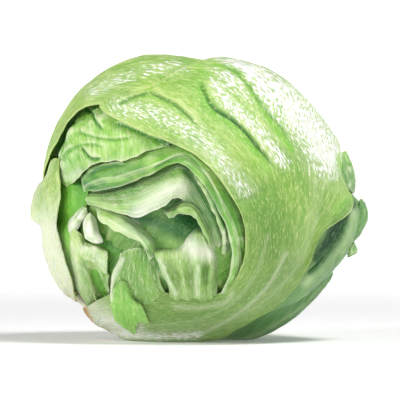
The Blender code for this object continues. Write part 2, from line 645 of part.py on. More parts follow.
def fuse(body, leaves):
    """Joins the leaves to the body, then drops the leaves, sealed pockets and loose scraps."""
    union = body.modifiers.new("Leaves", "BOOLEAN")
    union.operation = "UNION"
    union.operand_type = "COLLECTION"
    union.collection = leaves
    union.solver = "MANIFOLD"
    applied(body)
    for leaf in list(leaves.objects):
        bpy.data.objects.remove(leaf, do_unlink=True)
    bpy.data.collections.remove(leaves)
    shape = bmesh.new()
    shape.from_mesh(body.data)
    bmesh.ops.triangulate(shape, faces=shape.faces[:])
    left = set(shape.verts)
    islands = []
    while left:
        island = {left.pop()}
        edge = list(island)
        while edge:
            vert = edge.pop()
            for link in vert.link_edges:
                other = link.other_vert(vert)
                if other not in island:
                    island.add(other)
                    edge.append(other)
        left -= island
        islands.append(island)
    largest = max(islands, key=len)
    loose = [vert for island in islands if island is not largest for vert in island]
    bmesh.ops.delete(shape, geom=loose, context="VERTS")
    shape.to_mesh(body.data)
    shape.free()


def clear_scene():
    for old in list(bpy.data.objects):
        bpy.data.objects.remove(old, do_unlink=True)


def build():
    clear_scene()
    collection = bpy.data.collections.new("iceberg_lettuce")
    bpy.context.scene.collection.children.link(collection)
    inner = bpy.data.collections.new("inner_leaves")
    bpy.context.scene.collection.children.link(inner)
    outer_green = material("outer_leaf", (0.34, 0.52, 0.13), 0.5)
    pale_green = material("inner_leaf", (0.52, 0.68, 0.25), 0.5)
    dark_green = material("under_leaf", (0.17, 0.35, 0.08), 0.5)
    cut_white = material("stem", (0.68, 0.70, 0.46), 0.6)
    heart = core_object(collection, pale_green)
    for name, rows, cells in INNER_LEAVES:
        sheet_object(name, sheet_points(net_of(rows, inner=True), cells), inner, pale_green, INNER_BLADE)
    fuse(heart, inner)
    stem_object(collection, cut_white)
    for name, rows, cells, dark in OUTER_LEAVES:
        finish = dark_green if dark else outer_green
        sheet_object(name, sheet_points(net_of(rows), cells), collection, finish)
    torn = sheet_points(net_of(TORN_FLAP, inner=True), (8, 7))
    sheet_object("torn_flap", torn, collection, outer_green)


if __name__ == "__main__":
    build()
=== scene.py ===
"""Iceberg lettuce lying on its side: veined, creased and crumpled leaves in soft studio light.

X runs to the right of the photograph, Y away from the camera and Z up, in metres.
Each leaf is a fine sheet laid on a net of points, with its veins, creases, puckers and
torn margins raised by formulas, and it stands for the CAD node of the same leaf.
"""

import math

import bmesh
import bpy
import numpy as np
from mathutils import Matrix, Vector


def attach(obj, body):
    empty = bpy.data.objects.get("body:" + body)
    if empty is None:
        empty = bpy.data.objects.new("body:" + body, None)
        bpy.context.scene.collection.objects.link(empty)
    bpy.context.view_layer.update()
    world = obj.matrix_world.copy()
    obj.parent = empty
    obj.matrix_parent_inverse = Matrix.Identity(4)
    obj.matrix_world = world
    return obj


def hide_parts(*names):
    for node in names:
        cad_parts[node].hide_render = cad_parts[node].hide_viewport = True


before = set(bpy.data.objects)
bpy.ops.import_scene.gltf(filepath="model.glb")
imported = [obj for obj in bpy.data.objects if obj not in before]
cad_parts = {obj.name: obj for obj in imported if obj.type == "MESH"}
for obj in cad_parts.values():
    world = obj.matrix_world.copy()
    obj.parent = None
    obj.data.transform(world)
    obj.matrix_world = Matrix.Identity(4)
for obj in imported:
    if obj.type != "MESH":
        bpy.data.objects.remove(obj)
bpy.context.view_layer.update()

# The head's skin and the photograph's frame, as in the part's source
MM = 0.001
CENTRE_HEIGHT = 0.0713
FRONT_DEPTH = 0.0748
BACK_DEPTH = 0.0742
FLOOR_BLEND = 0.002
PHOTO_CENTRE = (199.0, 200.0)
PIXEL = 0.170 / 334
FRONT = -1.0
BACK = 1.0
SKIN_RADII = (80.0, 75.0, 74.5, 72.5, 79.0, 81.0, 80.0, 82.5, 80.5, 75.5, 77.0, 79.5)
MEAN_RADIUS = 0.080
# From the stem to the crown, and two directions square to it
AXIS = np.array([0.673, 0.0, 0.740])
AXIS_UP = np.array([-AXIS[2], 0.0, AXIS[0]])
AXIS_SIDE = np.array([0.0, -1.0, 0.0])
# The core, and the hollows of its opening as (pixels right of and below the centre, reach, depth in mm)
CORE_DEPTH = 0.0085
CORE_STEM_FACE = 0.0570
CORE_FLOOR = 0.0060
CORE_SUBDIVISIONS = 6
CORE_RIBS = 11
OPENING_HOLLOWS = ((-60, 20, 75, 3.0), (0, 10, 26, 9.0))
STEM_START = 0.0575
STEM_REACH = 0.0795
STEM_RADIUS = 0.0125
# Rings of the stem's mesh from its start to the middle of the cut face, and how many of them are wall
STEM_RINGS = 60
STEM_WALL_RINGS = 34
STEM_SIDES = 96
LEAF_BLADE = 0.0008
INNER_BLADE = 0.0009
# Length in mm that the patterns of a leaf take it to have, and the step of its side veins as a share
OUTER_LENGTH = 150.0
INNER_LENGTH = 60.0
VEIN_STEP = 0.1
# Y in metres where the marks of the front begin to show and where they are full
MARKS_FADE = (0.024, -0.014)
# Lamps as (name, place, size in metres, watts), and the floor and the view
LAMPS = (("key", (0.5, -0.38, 1.25), 0.4, 14), ("left", (-1.2, -0.6, 0.5), 0.5, 8))
WORLD_LIGHT = 0.24
FLOOR_FLAT = 6.0
FLOOR_WALL = 1.6
FLOOR_SIDES = 64
CAMERA_DISTANCE = 2.6
CAMERA_ELEVATION = 1.0
SENSOR = 36
FRAME_PIXELS = 400
# Nets of the wrapped leaves: rows run from the stem to the tip, and each point is (pixel across,
# pixel down, FRONT or BACK or else its Y in mm, height above the skin in mm)
TOP_LEAF = (
    ((78, 302, 13, -1), (80, 304, 15, -1), (83, 307, 17, -1), (86, 310, 18, -1), (90, 313, 19, -1)),
    ((60, 264, 11, 0), (62, 262, 18, 0), (68, 258, BACK, 0), (80, 257, BACK, 0), (98, 262, BACK, 0)),
    ((47, 224, 9, 0), (49, 220, 18, 0), (58, 214, BACK, 0), (76, 209, BACK, 0), (100, 212, BACK, 0)),
    ((44, 188, 5, 0), (46, 184, 14, 0), (56, 176, BACK, 0), (77, 168, BACK, 0), (108, 166, BACK, 0)),
    ((57, 145, FRONT, 1), (53, 147, -6, 1), (54, 143, 10, 1), (78, 133, BACK, 0), (119, 126, BACK, 0)),
    ((69, 123, FRONT, 1), (66, 117, FRONT, 1), (67, 112, 4, 1), (92, 98, BACK, 0), (138, 102, BACK, 0)),
    ((91, 107, FRONT, 1), (89, 93, FRONT, 1.5), (92, 81, 4, 2), (118, 80, BACK, 0), (158, 95, BACK, 0)),
    ((123, 105, FRONT, -1), (124, 84, FRONT, 1), (128, 65, 4, 2), (150, 72, BACK, 0), (182, 93, BACK, 0)),
    ((165, 120, FRONT, -2), (165, 90, FRONT, 0.5), (165, 59, 4, 1), (182, 72, BACK, 0), (205, 98, BACK, 0)),
    ((202, 135, FRONT, -3), (208, 102, FRONT, -2.5), (222, 68, 4, -2.5), (236, 84, BACK, -3),
     (246, 106, BACK, -3)),
)
LEFT_LEAF = (
    ((79, 300, -15, 0), (72, 295, -11, 0), (68, 291, -5, 0), (69, 292, 2, -1), (73, 297, 8, -3)),
    ((72, 276, FRONT, 0), (65, 277, FRONT, 1), (59, 278, -4, 1), (58, 276, 3, -1), (61, 272, 9, -3)),
    ((63, 246, FRONT, 0), (56, 247, FRONT, 1), (50, 248, -4, 1), (49, 246, 3, -1), (52, 242, 10, -3)),
    ((58, 224, FRONT, 0), (51, 226, FRONT, 1), (44, 226, -5, 0.5), (44, 224, 1, -1), (48, 220, 8, -3)),
    ((59, 214, FRONT, 0), (50, 216, FRONT, 2), (33, 217, -7, 5), (40, 215, 0, -1), (45, 210, 7, -3)),
    ((62, 197, FRONT, 0), (51, 200, FRONT, 2), (35, 201, -8, 4.5), (40, 199, 0, -1), (44, 195, 6, -3)),
    ((62, 182, FRONT, 0), (52, 185, FRONT, 1), (38, 186, -8, 2), (42, 184, -1, -1.5), (45, 181, 5, -3)),
    ((61, 171, FRONT, 0), (53, 173, FRONT, 0), (44, 175, -8, -1.5), (44, 173, -1, -2), (46, 170, 5, -3)),
    ((59, 158, FRONT, -1.3), (55, 157, FRONT, -1.5), (49, 160, -8, -2.2), (49, 158, -1, -2.6),
     (50, 155, 5, -3)),
)
BODY_LEAF = (
    ((84, 306, -15, 0), (88, 311, -16, 1), (97, 319, -14, 1), (105, 327, -11, 0), (114, 336, -2, 0)),
    ((112, 295, FRONT, -4), (115, 305, FRONT, 0), (120, 317, FRONT, 0), (128, 328, FRONT, 0),
     (141, 338, -9, 0)),
    ((165, 297, FRONT, -6), (167, 308, FRONT, -1), (173, 320, FRONT, 0), (182, 331, FRONT, 0),
     (196, 340, -14, 0)),
    ((218, 297, FRONT, -5), (225, 305, FRONT, 0), (232, 311, FRONT, 0), (237, 317, FRONT, 0),
     (243, 323, FRONT, 0)),
    ((241, 262, FRONT, 0), (254, 271, FRONT, 1), (267, 280, FRONT, 1), (276, 288, FRONT, 1),
     (283, 294, FRONT, 1)),
    ((244, 232, FRONT, 1), (264, 240, FRONT, 1), (284, 250, FRONT, 1), (300, 257, FRONT, 1),
     (308, 259, FRONT, 1)),
    ((237, 206, FRONT, 2), (262, 212, FRONT, 1), (290, 220, FRONT, 1), (311, 226, FRONT, 1),
     (319, 230, FRONT, 1.5)),
    ((222, 181, FRONT, 2), (255, 186, FRONT, 1), (290, 193, FRONT, 1), (325, 196, FRONT, 1.5),
     (347, 204, FRONT, 2.5)),
    ((199, 157, FRONT, 2), (240, 158, FRONT, 1), (285, 162, FRONT, 1), (325, 165, FRONT, 1),
     (339, 176, FRONT, 1)),
    ((171, 143, FRONT, 2), (212, 128, FRONT, 1), (265, 128, FRONT, 1), (312, 133, FRONT, 1),
     (334, 148, -6, 1)),
    ((138, 129, FRONT, 2), (188, 104, FRONT, 1), (248, 96, FRONT, 1), (302, 104, 5, 1),
     (302, 134, BACK, 1)),
    ((108, 114, FRONT, 2), (160, 95, FRONT, 2), (220, 75, FRONT, 1), (268, 78, 8, 1), (277, 112, BACK, 1)),
    ((102, 104, FRONT, 1.5), (148, 91, FRONT, 2), (190, 69, FRONT, 2), (226, 70, 4, 1), (242, 84, BACK, 1)),
)
FOLD_LEAF = (
    ((242, 298, FRONT, -5), (246, 303, FRONT, -4.5), (249, 307, FRONT, -3.5), (251, 310, FRONT, -3),
     (254, 314, FRONT, -2), (256, 317, FRONT, -3)),
    ((256, 285, FRONT, -5), (262, 291, FRONT, -4), (268, 297, FRONT, -3), (272, 302, FRONT, -2),
     (276, 307, FRONT, -1), (278, 311, FRONT, -3)),
    ((277, 266, FRONT, -5), (285, 274, FRONT, -4), (292, 281, FRONT, -3.5), (297, 287, FRONT, -1),
     (300, 296, FRONT, -1), (301, 303, FRONT, -3)),
    ((298, 243, FRONT, -5), (307, 251, FRONT, -3.5), (315, 258, FRONT, -4.5), (321, 265, FRONT, 1),
     (325, 277, FRONT, 0), (324, 285, FRONT, -2)),
    ((315, 216, FRONT, -5), (326, 225, FRONT, -3), (334, 233, FRONT, -4.5), (341, 241, FRONT, 2),
     (345, 254, FRONT, 0.5), (341, 264, -5, -2)),
    ((324, 188, FRONT, -5), (337, 200, FRONT, -4), (344, 208, FRONT, -4), (350, 215, FRONT, 2),
     (354, 231, -4, 1.5), (354, 243, 2, 2)),
    ((328, 158, FRONT, -6), (340, 172, FRONT, -5), (348, 184, FRONT, -4), (354, 197, -6, 1),
     (360, 205, 0, 2), (364, 217, 6, 4)),
)
UNDER_LEAF = (
    ((118, 335, -6, -5), (116, 333, 2, -5), (113, 330, 9, -5), (110, 327, 14, -5), (107, 324, 17, -5)),
    ((160, 334, FRONT, -6), (160, 340, -20, -4), (158, 340, 4, 0), (155, 338, 26, 0), (148, 325, BACK, -2)),
    ((214, 330, FRONT, -7), (224, 336, -26, -4), (226, 340, -4, 0), (222, 340, 22, 0),
     (212, 325, BACK, -2)),
    ((252, 301, FRONT, -7), (274, 317, -28, -5), (281, 331, -8, -1), (278, 332, 16, 0),
     (262, 312, BACK, -2)),
    ((284, 272, FRONT, -7), (304, 303, -20, -6), (311, 308, -4, -2), (314, 304, 16, 0),
     (298, 285, BACK, -2)),
    ((306, 244, FRONT, -7), (328, 279, -15, -6), (338, 276, 0, -3), (340, 271, 15, 0),
     (322, 250, BACK, -2)),
)
BACK_LEAF = (
    ((84, 300, 17, -3), (87, 303, 19, -3), (91, 308, 20, -3), (96, 314, 19, -3), (101, 319, 17, -3)),
    ((84, 253, BACK, -4), (104, 268, BACK, -1), (122, 283, BACK, 0), (138, 299, BACK, -1),
     (152, 314, BACK, -2)),
    ((88, 202, BACK, -4), (118, 223, BACK, -1), (148, 245, BACK, 1), (172, 268, BACK, 0),
     (192, 293, BACK, -2)),
    ((98, 157, BACK, -4), (141, 176, BACK, -1), (178, 204, BACK, 1), (208, 235, BACK, 0),
     (232, 268, BACK, -2)),
    ((126, 118, BACK, -4), (170, 135, BACK, -1), (211, 163, BACK, 1), (245, 198, BACK, 0),
     (270, 235, BACK, -2)),
    ((168, 88, BACK, -4), (208, 104, BACK, -3), (245, 130, BACK, -2), (279, 167, BACK, -2),
     (298, 204, BACK, -2)),
    ((206, 82, BACK, -5), (246, 88, BACK, -4), (280, 112, BACK, -4), (305, 145, BACK, -3),
     (315, 180, BACK, -3)),
)
SIDE_LEAF = (
    ((108, 308, 24, -7), (112, 313, 23, -7), (116, 319, 22, -7), (120, 325, 20, -7), (124, 330, 17, -7)),
    ((128, 292, BACK, -7), (142, 306, BACK, -5), (156, 319, BACK, -4), (166, 330, BACK, -4),
     (172, 336, 26, -4)),
    ((170, 258, BACK, -7), (190, 278, BACK, -5), (208, 297, BACK, -3), (225, 312, BACK, -3),
     (238, 322, BACK, -4)),
    ((210, 218, BACK, -7), (235, 240, BACK, -5), (258, 262, BACK, -3), (277, 280, BACK, -3),
     (290, 297, BACK, -5)),
    ((250, 176, BACK, -7), (277, 198, BACK, -5), (300, 220, BACK, -3), (318, 240, BACK, -4),
     (332, 260, 16, -5)),
    ((285, 145, BACK, -7), (308, 164, BACK, -6), (328, 184, BACK, -5), (346, 212, 26, -4),
     (350, 240, 8, -5)),
    ((310, 136, BACK, -7), (328, 148, BACK, -6), (343, 167, BACK, -5), (353, 188, 22, -4),
     (357, 212, 13, -4)),
)

# Nets of the torn leaves inside the opening: (pixel across, pixel down, depth below the skin in mm)
POUCH_LEAF = (
    ((53, 167, 7), (59, 143, 5), (70, 117, 4), (89, 99, 5), (112, 90, 5), (138, 92, 6), (162, 109, 6.5),
     (188, 132, 7.5)),
    ((56, 173, 6), (63, 149, 3), (74, 127, 1.5), (92, 112, 3.5), (112, 107, 2.5), (134, 108, 4),
     (155, 121, 5), (180, 140, 6)),
    ((58, 177, 4.5), (66, 155, 1), (78, 138, 0.5), (93, 127, 1), (111, 120, 0.5), (131, 120, 1),
     (150, 129, 2), (175, 142, 5)),
    ((61, 180, 3), (69, 163, 0.5), (82, 149, 1), (96, 138, 0.5), (111, 133, 0), (129, 131, 0),
     (147, 134, 1), (171, 143, 4.5)),
    ((65, 184, 3), (75, 172, 1), (86, 160, 2), (99, 151, 1), (113, 147, 0.5), (130, 144, 0.5),
     (148, 141, 1.5), (169, 144, 4.5)),
    ((68, 187, 4), (79, 180, 2.5), (89, 170, 3), (101, 164, 2), (115, 162, 1.5), (131, 160, 1.5),
     (149, 152, 2.5), (172, 145, 5.5)),
)
ROLL_LEAF = (
    ((80, 172, 8), (98, 157, 8), (128, 149, 8), (152, 141, 8), (183, 134, 8), (216, 154, 8),
     (238, 185, 8), (254, 222, 8), (255, 262, 9), (238, 300, 13)),
    ((83, 177, 4.5), (100, 166, 4), (128, 161, 3.5), (153, 152, 4), (183, 145, 4.5), (210, 162, 4.5),
     (230, 189, 4), (244, 223, 4), (248, 262, 5), (235, 298, 9)),
    ((85, 183, 4), (102, 174, 2.5), (128, 169, 2), (155, 160, 2.5), (182, 151, 3), (205, 167, 3),
     (223, 193, 3), (238, 226, 2.5), (242, 262, 3), (230, 298, 6)),
    ((86, 188, 4.5), (104, 184, 3), (129, 178, 2.5), (155, 167, 3), (180, 158, 3.5), (199, 172, 3.5),
     (217, 198, 3), (232, 228, 2.5), (235, 262, 2), (224, 297, 4)),
    ((87, 191, 5.5), (106, 190, 5), (130, 184, 5), (155, 172, 5), (178, 163, 5.5), (195, 175, 5.5),
     (212, 201, 5), (226, 231, 4), (227, 262, 3.5), (218, 295, 5)),
)
RIBBON_LEAF = (
    ((200, 164, 11), (212, 183, 10), (222, 205, 10), (230, 229, 10), (229, 250, 10)),
    ((196, 171, 7), (207, 187, 6.5), (217, 207, 6.5), (225, 231, 6.5), (224, 251, 7)),
    ((191, 175, 8), (202, 191, 7.5), (212, 211, 7.5), (220, 233, 7.5), (220, 252, 8)),
)
BRIGHT_LEAF = (
    ((84, 190, 11), (98, 190, 11), (115, 188, 11), (135, 180, 11), (155, 169, 11), (172, 161, 11),
     (186, 160, 11), (199, 171, 12), (209, 187, 12), (219, 210, 12), (227, 236, 11)),
    ((86, 194, 8), (99, 194, 8), (116, 192, 8), (136, 186, 7.5), (156, 178, 7), (172, 171, 7),
     (184, 169, 8), (195, 178, 10.5), (205, 195, 10.5), (215, 216, 10), (223, 240, 9.5)),
    ((87, 197, 7.5), (100, 198, 7), (117, 198, 6.5), (137, 194, 5.5), (156, 187, 4.5), (172, 180, 4.5),
     (184, 178, 5.5), (192, 187, 10), (201, 203, 10), (211, 221, 9.5), (220, 243, 9)),
    ((88, 200, 7.5), (102, 202, 6.5), (119, 205, 5), (138, 204, 4), (156, 198, 3.5), (170, 192, 3.5),
     (181, 188, 5), (188, 196, 10), (198, 208, 10.5), (208, 225, 10), (217, 246, 9.5)),
    ((89, 203, 8.5), (104, 207, 7.5), (121, 213, 6), (139, 217, 5.5), (156, 211, 5.5), (169, 204, 6.5),
     (178, 198, 8), (185, 202, 11.5), (194, 212, 11.5), (204, 228, 11), (214, 249, 10)),
)
LIP_LEAF = (
    ((162, 207, 14), (173, 202, 13), (184, 198, 12), (194, 199, 12), (203, 208, 12), (210, 222, 12),
     (215, 240, 11), (218, 262, 10)),
    ((165, 210, 11), (175, 205, 10), (185, 202, 9.5), (194, 204, 9), (202, 213, 9), (208, 227, 9),
     (213, 243, 9), (216, 262, 9)),
    ((168, 213, 9.5), (177, 209, 8), (186, 208, 7), (194, 210, 7), (200, 218, 7), (206, 230, 7),
     (210, 245, 7.5), (213, 262, 8)),
    ((170, 216, 11), (179, 213, 10), (187, 213, 9.5), (194, 217, 9.5), (199, 225, 9.5), (203, 235, 9.5),
     (207, 248, 9.5), (210, 262, 9.5)),
)
TONGUE_LEAF = (
    ((97, 205, 10), (108, 203, 11), (120, 208, 11), (133, 215, 12), (146, 226, 12), (156, 238, 12),
     (161, 252, 12)),
    ((99, 209, 5), (109, 210, 5.5), (121, 216, 5.5), (133, 223, 5.5), (144, 232, 5.5), (151, 243, 6.5),
     (155, 254, 8)),
    ((100, 214, 4), (110, 217, 3.5), (121, 223, 3), (132, 230, 3), (142, 236, 3.5), (149, 245, 4.5),
     (152, 256, 7)),
    ((102, 220, 5), (111, 226, 4), (121, 232, 4), (131, 237, 4), (140, 239, 4.5), (146, 247, 6),
     (149, 258, 8.5)),
)
GLOW_LEAF = (
    ((94, 224, 12), (108, 228, 12), (126, 234, 13), (148, 244, 14)),
    ((94, 243, 9), (106, 245, 9), (121, 249, 10), (142, 255, 11)),
    ((89, 260, 6.5), (101, 262, 7.5), (112, 264, 8), (128, 271, 9)),
    ((93, 275, 6), (103, 277, 7.5), (112, 279, 8), (124, 285, 8)),
    ((98, 290, 6), (105, 292, 6.5), (113, 294, 7), (123, 299, 8)),
    ((99, 304, 8), (106, 306, 8), (114, 307, 8), (123, 309, 8)),
)
PLEAT_LEAF = (
    ((152, 244, 14), (160, 242, 15), (170, 240, 15), (180, 238, 14), (187, 232, 14), (195, 226, 14),
     (203, 226, 14), (210, 238, 13), (218, 250, 12)),
    ((154, 249, 8), (161, 251, 6), (171, 252, 6), (182, 249, 6), (189, 241, 7), (196, 233, 6),
     (204, 235, 7), (211, 247, 7), (217, 255, 9)),
    ((157, 256, 7), (164, 259, 5), (172, 260, 7), (182, 258, 5), (190, 255, 6), (197, 251, 4),
     (205, 253, 7), (211, 257, 5), (217, 261, 9)),
    ((162, 268, 7), (168, 270, 4), (175, 271, 8), (183, 271, 6), (191, 270, 9), (199, 269, 3),
     (205, 270, 8), (210, 270, 4), (217, 272, 9)),
    ((169, 284, 6), (175, 285, 4.2), (180, 285, 6), (186, 285, 4.8), (193, 285, 6.5), (200, 284, 3.6),
     (205, 284, 5.8), (209, 284, 4.5), (217, 284, 7)),
    ((170, 297, 4.4), (177, 297, 3.8), (182, 297, 4.3), (188, 297, 4), (194, 297, 4.4), (200, 297, 3.7),
     (206, 297, 4.2), (211, 296, 3.9), (218, 296, 4.6)),
    ((171, 311, 4), (178, 312, 3.8), (184, 312, 4), (190, 312, 3.8), (196, 312, 4), (202, 312, 3.6),
     (208, 311, 4), (214, 310, 3.8), (221, 308, 4)),
)
SMOOTH_LEAF = (
    ((123, 251, 4.5), (131, 246, 7), (143, 245, 9.5), (157, 250, 12)),
    ((119, 261, 3), (128, 261, 4.5), (142, 264, 7), (159, 267, 10)),
    ((113, 274, 2), (124, 276, 3), (141, 278, 5), (162, 281, 8)),
    ((112, 289, 1.5), (123, 290, 2), (142, 291, 3), (168, 293, 6)),
    ((111, 303, 1), (124, 304, 1.2), (142, 305, 1.5), (172, 306, 3)),
    ((110, 318, 1), (125, 319, 1), (143, 319, 1), (176, 318, 1.5)),
)
TORN_FLAP = (
    ((119, 279, 2), (122, 278, 2), (125, 278, 2), (128, 279, 2.5), (130, 281, 3)),
    ((114, 288, 0), (119, 288, 0), (125, 289, 0), (131, 291, 0.5), (135, 294, 1.5)),
    ((112, 298, -2), (119, 300, -2.5), (128, 301, -2), (136, 301, -2), (142, 301, -1)),
    ((113, 309, -2.5), (121, 313, -3.2), (130, 316, -2.4), (137, 312, -2.4), (147, 311, -1.6)),
    ((115, 319, -2.2), (126, 327, -3.2), (136, 334, -3.2), (139, 320, -2.6), (152, 323, -2.4)),
)
CHIP_LEAF = (
    ((84, 203, 9), (88, 206, 5), (91, 211, 8)),
    ((76, 210, 8), (81, 214, 4), (85, 219, 7)),
    ((67, 221, 8), (73, 224, 4), (79, 229, 7)),
    ((64, 229, 8), (70, 232, 5), (76, 234, 8)),
)
PUFF_LEAF = (
    ((87, 212, 9), (92, 211, 5), (99, 214, 9)),
    ((85, 221, 6), (92, 221, 2), (100, 223, 7)),
    ((86, 232, 5), (94, 232, 2), (103, 233, 6)),
    ((88, 240, 8), (98, 241, 5), (110, 243, 8)),
)
FRILL_LEAF = (
    ((79, 240, 9), (88, 240, 7), (98, 243, 7), (110, 247, 9)),
    ((80, 246, 5), (89, 245, 3), (99, 247, 3), (111, 251, 6)),
    ((79, 256, 4), (87, 257, 3), (97, 261, 6), (109, 262, 4)),
    ((84, 264, 4), (91, 268, 6), (100, 272, 8), (110, 274, 5)),
    ((91, 278, 4), (97, 281, 7), (103, 284, 8), (110, 285, 6)),
    ((96, 290, 4), (100, 292, 6), (105, 294, 7), (111, 296, 6)),
    ((97, 301, 3), (101, 303, 5), (106, 305, 6), (111, 306, 5)),
)
SECOND_RIB = (
    ((66, 226, 8), (70, 227, 6), (76, 228, 6), (82, 231, 7), (87, 236, 9)),
    ((68, 240, 5.5), (72, 240, 4), (78, 241, 4), (84, 243, 5), (89, 250, 8)),
    ((70, 256, 4.5), (75, 256, 3), (81, 257, 3), (88, 261, 5), (93, 267, 7)),
    ((74, 273, 3.5), (79, 273, 2.5), (85, 274, 3), (91, 276, 4), (95, 281, 6)),
    ((79, 290, 3), (84, 290, 2.5), (89, 290, 2.5), (94, 291, 3.5), (98, 294, 5)),
    ((84, 304, 3), (87, 305, 2.5), (90, 306, 2.5), (93, 305, 3.5), (97, 303, 5)),
)
SHADE_LEAF = (
    ((52, 170, 5), (64, 172, 6), (78, 174, 8), (92, 176, 10)),
    ((54, 184, 4), (66, 186, 4.5), (78, 187, 5.5), (90, 189, 8)),
    ((55, 201, 4.5), (66, 203, 4.5), (77, 204, 5.5), (88, 206, 8)),
    ((53, 215, 5), (61, 217, 5.5), (70, 220, 6.5), (80, 224, 8)),
    ((55, 234, 3.5), (61, 236, 3), (68, 238, 3.5), (76, 242, 6)),
    ((62, 262, 3.5), (68, 263, 3), (74, 265, 4), (80, 268, 6)),
    ((71, 288, 3.5), (75, 289, 3), (80, 290, 4), (85, 290, 6)),
)

# Nets of the curled lobes at the right margin: (pixel across, pixel down, Y in mm, height above the skin)
LOBE_ONE = (
    ((334, 152, -22, -1), (339, 150, -14, 1), (344, 151, -5, 2), (347, 154, 4, 1), (345, 158, 13, -1.5),
     (341, 161, 23, -4)),
    ((336, 163, -24, -1), (343, 161, -15, 1), (349, 161, -5, 2.5), (352, 164, 5, 1.5), (350, 168, 14, -1),
     (346, 171, 24, -4)),
    ((338, 174, -25, -1), (346, 172, -16, 0.5), (353, 172, -6, 2), (356, 175, 5, 1), (353, 180, 14, -1),
     (349, 183, 24, -4)),
    ((341, 184, -24, -1.5), (348, 183, -15, 0), (354, 184, -6, 1), (355, 186, 4, 0), (353, 191, 14, -1.5),
     (348, 194, 24, -4)),
    ((345, 192, -22, -2), (349, 192, -14, -1), (352, 193, -6, -1), (353, 194, 3, -1),
     (351, 201, 13, -2.5), (346, 206, 23, -4.5)),
)
LOBE_TWO = (
    ((350, 200, -14, 1), (355, 199, -8, 2), (360, 198, -2, 3), (362, 201, 4, 2)),
    ((351, 212, -14, 1.5), (357, 208, -9, 4), (363, 207, -2, 5.5), (365, 210, 5, 4)),
    ((351, 222, -14, 1.5), (357, 221, -9, 4), (363, 220, -2, 5.5), (364, 221, 5, 4)),
    ((350, 232, -14, 1), (355, 233, -9, 3), (359, 233, -2, 4), (360, 232, 5, 3)),
    ((349, 238, -13, 0), (352, 239, -8, 1.5), (355, 239, -2, 2), (356, 238, 4, 1.5)),
)
LOBE_THREE = (
    ((346, 245, -14, 1), (350, 242, -10, 2), (353, 242, -5, 2), (355, 245, 0, 1)),
    ((345, 251, -15, 2), (350, 250, -11, 4.5), (354, 250, -5, 4.5), (356, 251, 1, 2)),
    ((346, 256, -14, 1), (350, 258, -10, 2), (353, 258, -5, 2), (355, 256, 0, 1)),
)


# Creases seen from the front: (points in pixels, rise on the left hand of the path and sinking on its
# right in mm, the reaches of both in pixels, how strongly the sunk side and its line take painted shade)
LONG_CREASE = (
    (201, 80), (204, 90), (209, 101), (217, 110), (232, 119), (245, 131), (256, 144), (267, 158), (277, 172)
)
BODY_CREASES = (
    (LONG_CREASE, 1.2, 0.9, 10, 6, 1.0),
    (((219, 62), (235, 70), (245, 80), (259, 99), (270, 114), (283, 130), (290, 148)), -0.5, 1.0, 3, 3.5,
     0.6),
    (((222, 198), (236, 198), (250, 194), (262, 187), (270, 178)), -0.3, 0.5, 3, 10, 0.2),
    (((150, 90), (161, 96), (176, 104), (190, 116), (202, 130)), 0.8, 1.2, 6, 3, 0.6),
    (((118, 104), (130, 98), (142, 94), (154, 91)), 0.6, 1.0, 5, 3, 0.6),
)
# Painted shade in greener bands along the creases: (path in pixels, reach in pixels, strength)
GREENS = (
    (((214, 64), (236, 72), (249, 88), (261, 107), (274, 129), (284, 142), (289, 149)), 3.2, 0.95),
    (((200, 84), (205, 98), (217, 116), (234, 128), (250, 146), (264, 166)), 7, 0.6),
    (((186, 62), (196, 67), (206, 76)), 4, 0.6),
    (((334, 208), (342, 203), (347, 198)), 6, 0.6),
    (((338, 156), (340, 166), (344, 176)), 3, 0.7),
)
# Painted white highlight on the outer leaves: (path in pixels, reach in pixels, strength)
# The last two paths lie on the pale foot of the leaves by the stem, real colour that also gets the painted
# glints
SHEENS = (
    (((235, 68), (262, 84), (290, 104), (314, 134), (328, 156)), 24, 1.0),
    (((215, 84), (232, 108), (258, 132), (280, 160)), 9, 0.8),
    (((120, 106), (150, 112), (180, 124), (205, 142), (226, 166), (244, 188)), 12, 0.6),
    (((92, 92), (120, 80), (150, 70), (185, 66)), 9, 0.5),
    (((112, 331), (140, 333), (172, 334), (198, 332)), 6, 0.8),
    (((98, 318), (118, 322), (140, 328)), 9, 0.7),
)
# Painted shade: greener, darker patches of the leaves and the core in their gaps, pockets and hollows
# and low on the body, where they face the camera
SHADES = (
    (((262, 198), (268, 222), (270, 246)), 26, 0.9),
    (((300, 176), (314, 190), (322, 205)), 20, 0.5),
    (((286, 262), (262, 286), (236, 302)), 17, 1.0),
    (((84, 181), (98, 187), (116, 187), (134, 182)), 6, 0.95),
    (((86, 172), (96, 176), (104, 182)), 6, 0.8),
    (((116, 173), (124, 172), (132, 175)), 5, 0.7),
    (((206, 184), (216, 204), (224, 222)), 2.6, 0.9),
    (((150, 250), (158, 264), (166, 282), (172, 298)), 5, 0.7),
    (((160, 140), (167, 142), (174, 143)), 4, 0.9),
    (((120, 240), (116, 256), (110, 274), (100, 290)), 7, 0.5),
    (((186, 168), (194, 180), (202, 195), (211, 214)), 4, 0.9),
    (((106, 193), (124, 193), (143, 187), (158, 177)), 10, 0.5),
    (((138, 216), (155, 219), (172, 226), (186, 232)), 12, 0.95),
    (((85, 262), (88, 280), (90, 298)), 5, 0.7),
    (((346, 207), (340, 217), (335, 229), (330, 241), (320, 256)), 8, 2.0),
    (((168, 262), (186, 268), (206, 272)), 14, 0.25),
    (((98, 170), (118, 168), (142, 168)), 9, 0.65),
    (((124, 258), (130, 274), (138, 292)), 13, 0.5),
    (((298, 158), (310, 176), (322, 194)), 18, 0.55),
    (((240, 285), (262, 276), (282, 262)), 14, 0.3),
    (((206, 104), (218, 112), (230, 120)), 8, 0.6),
    (((160, 312), (190, 314), (220, 308)), 15, 1.0),
    (((168, 296), (192, 299), (214, 297)), 5, 0.5),
)
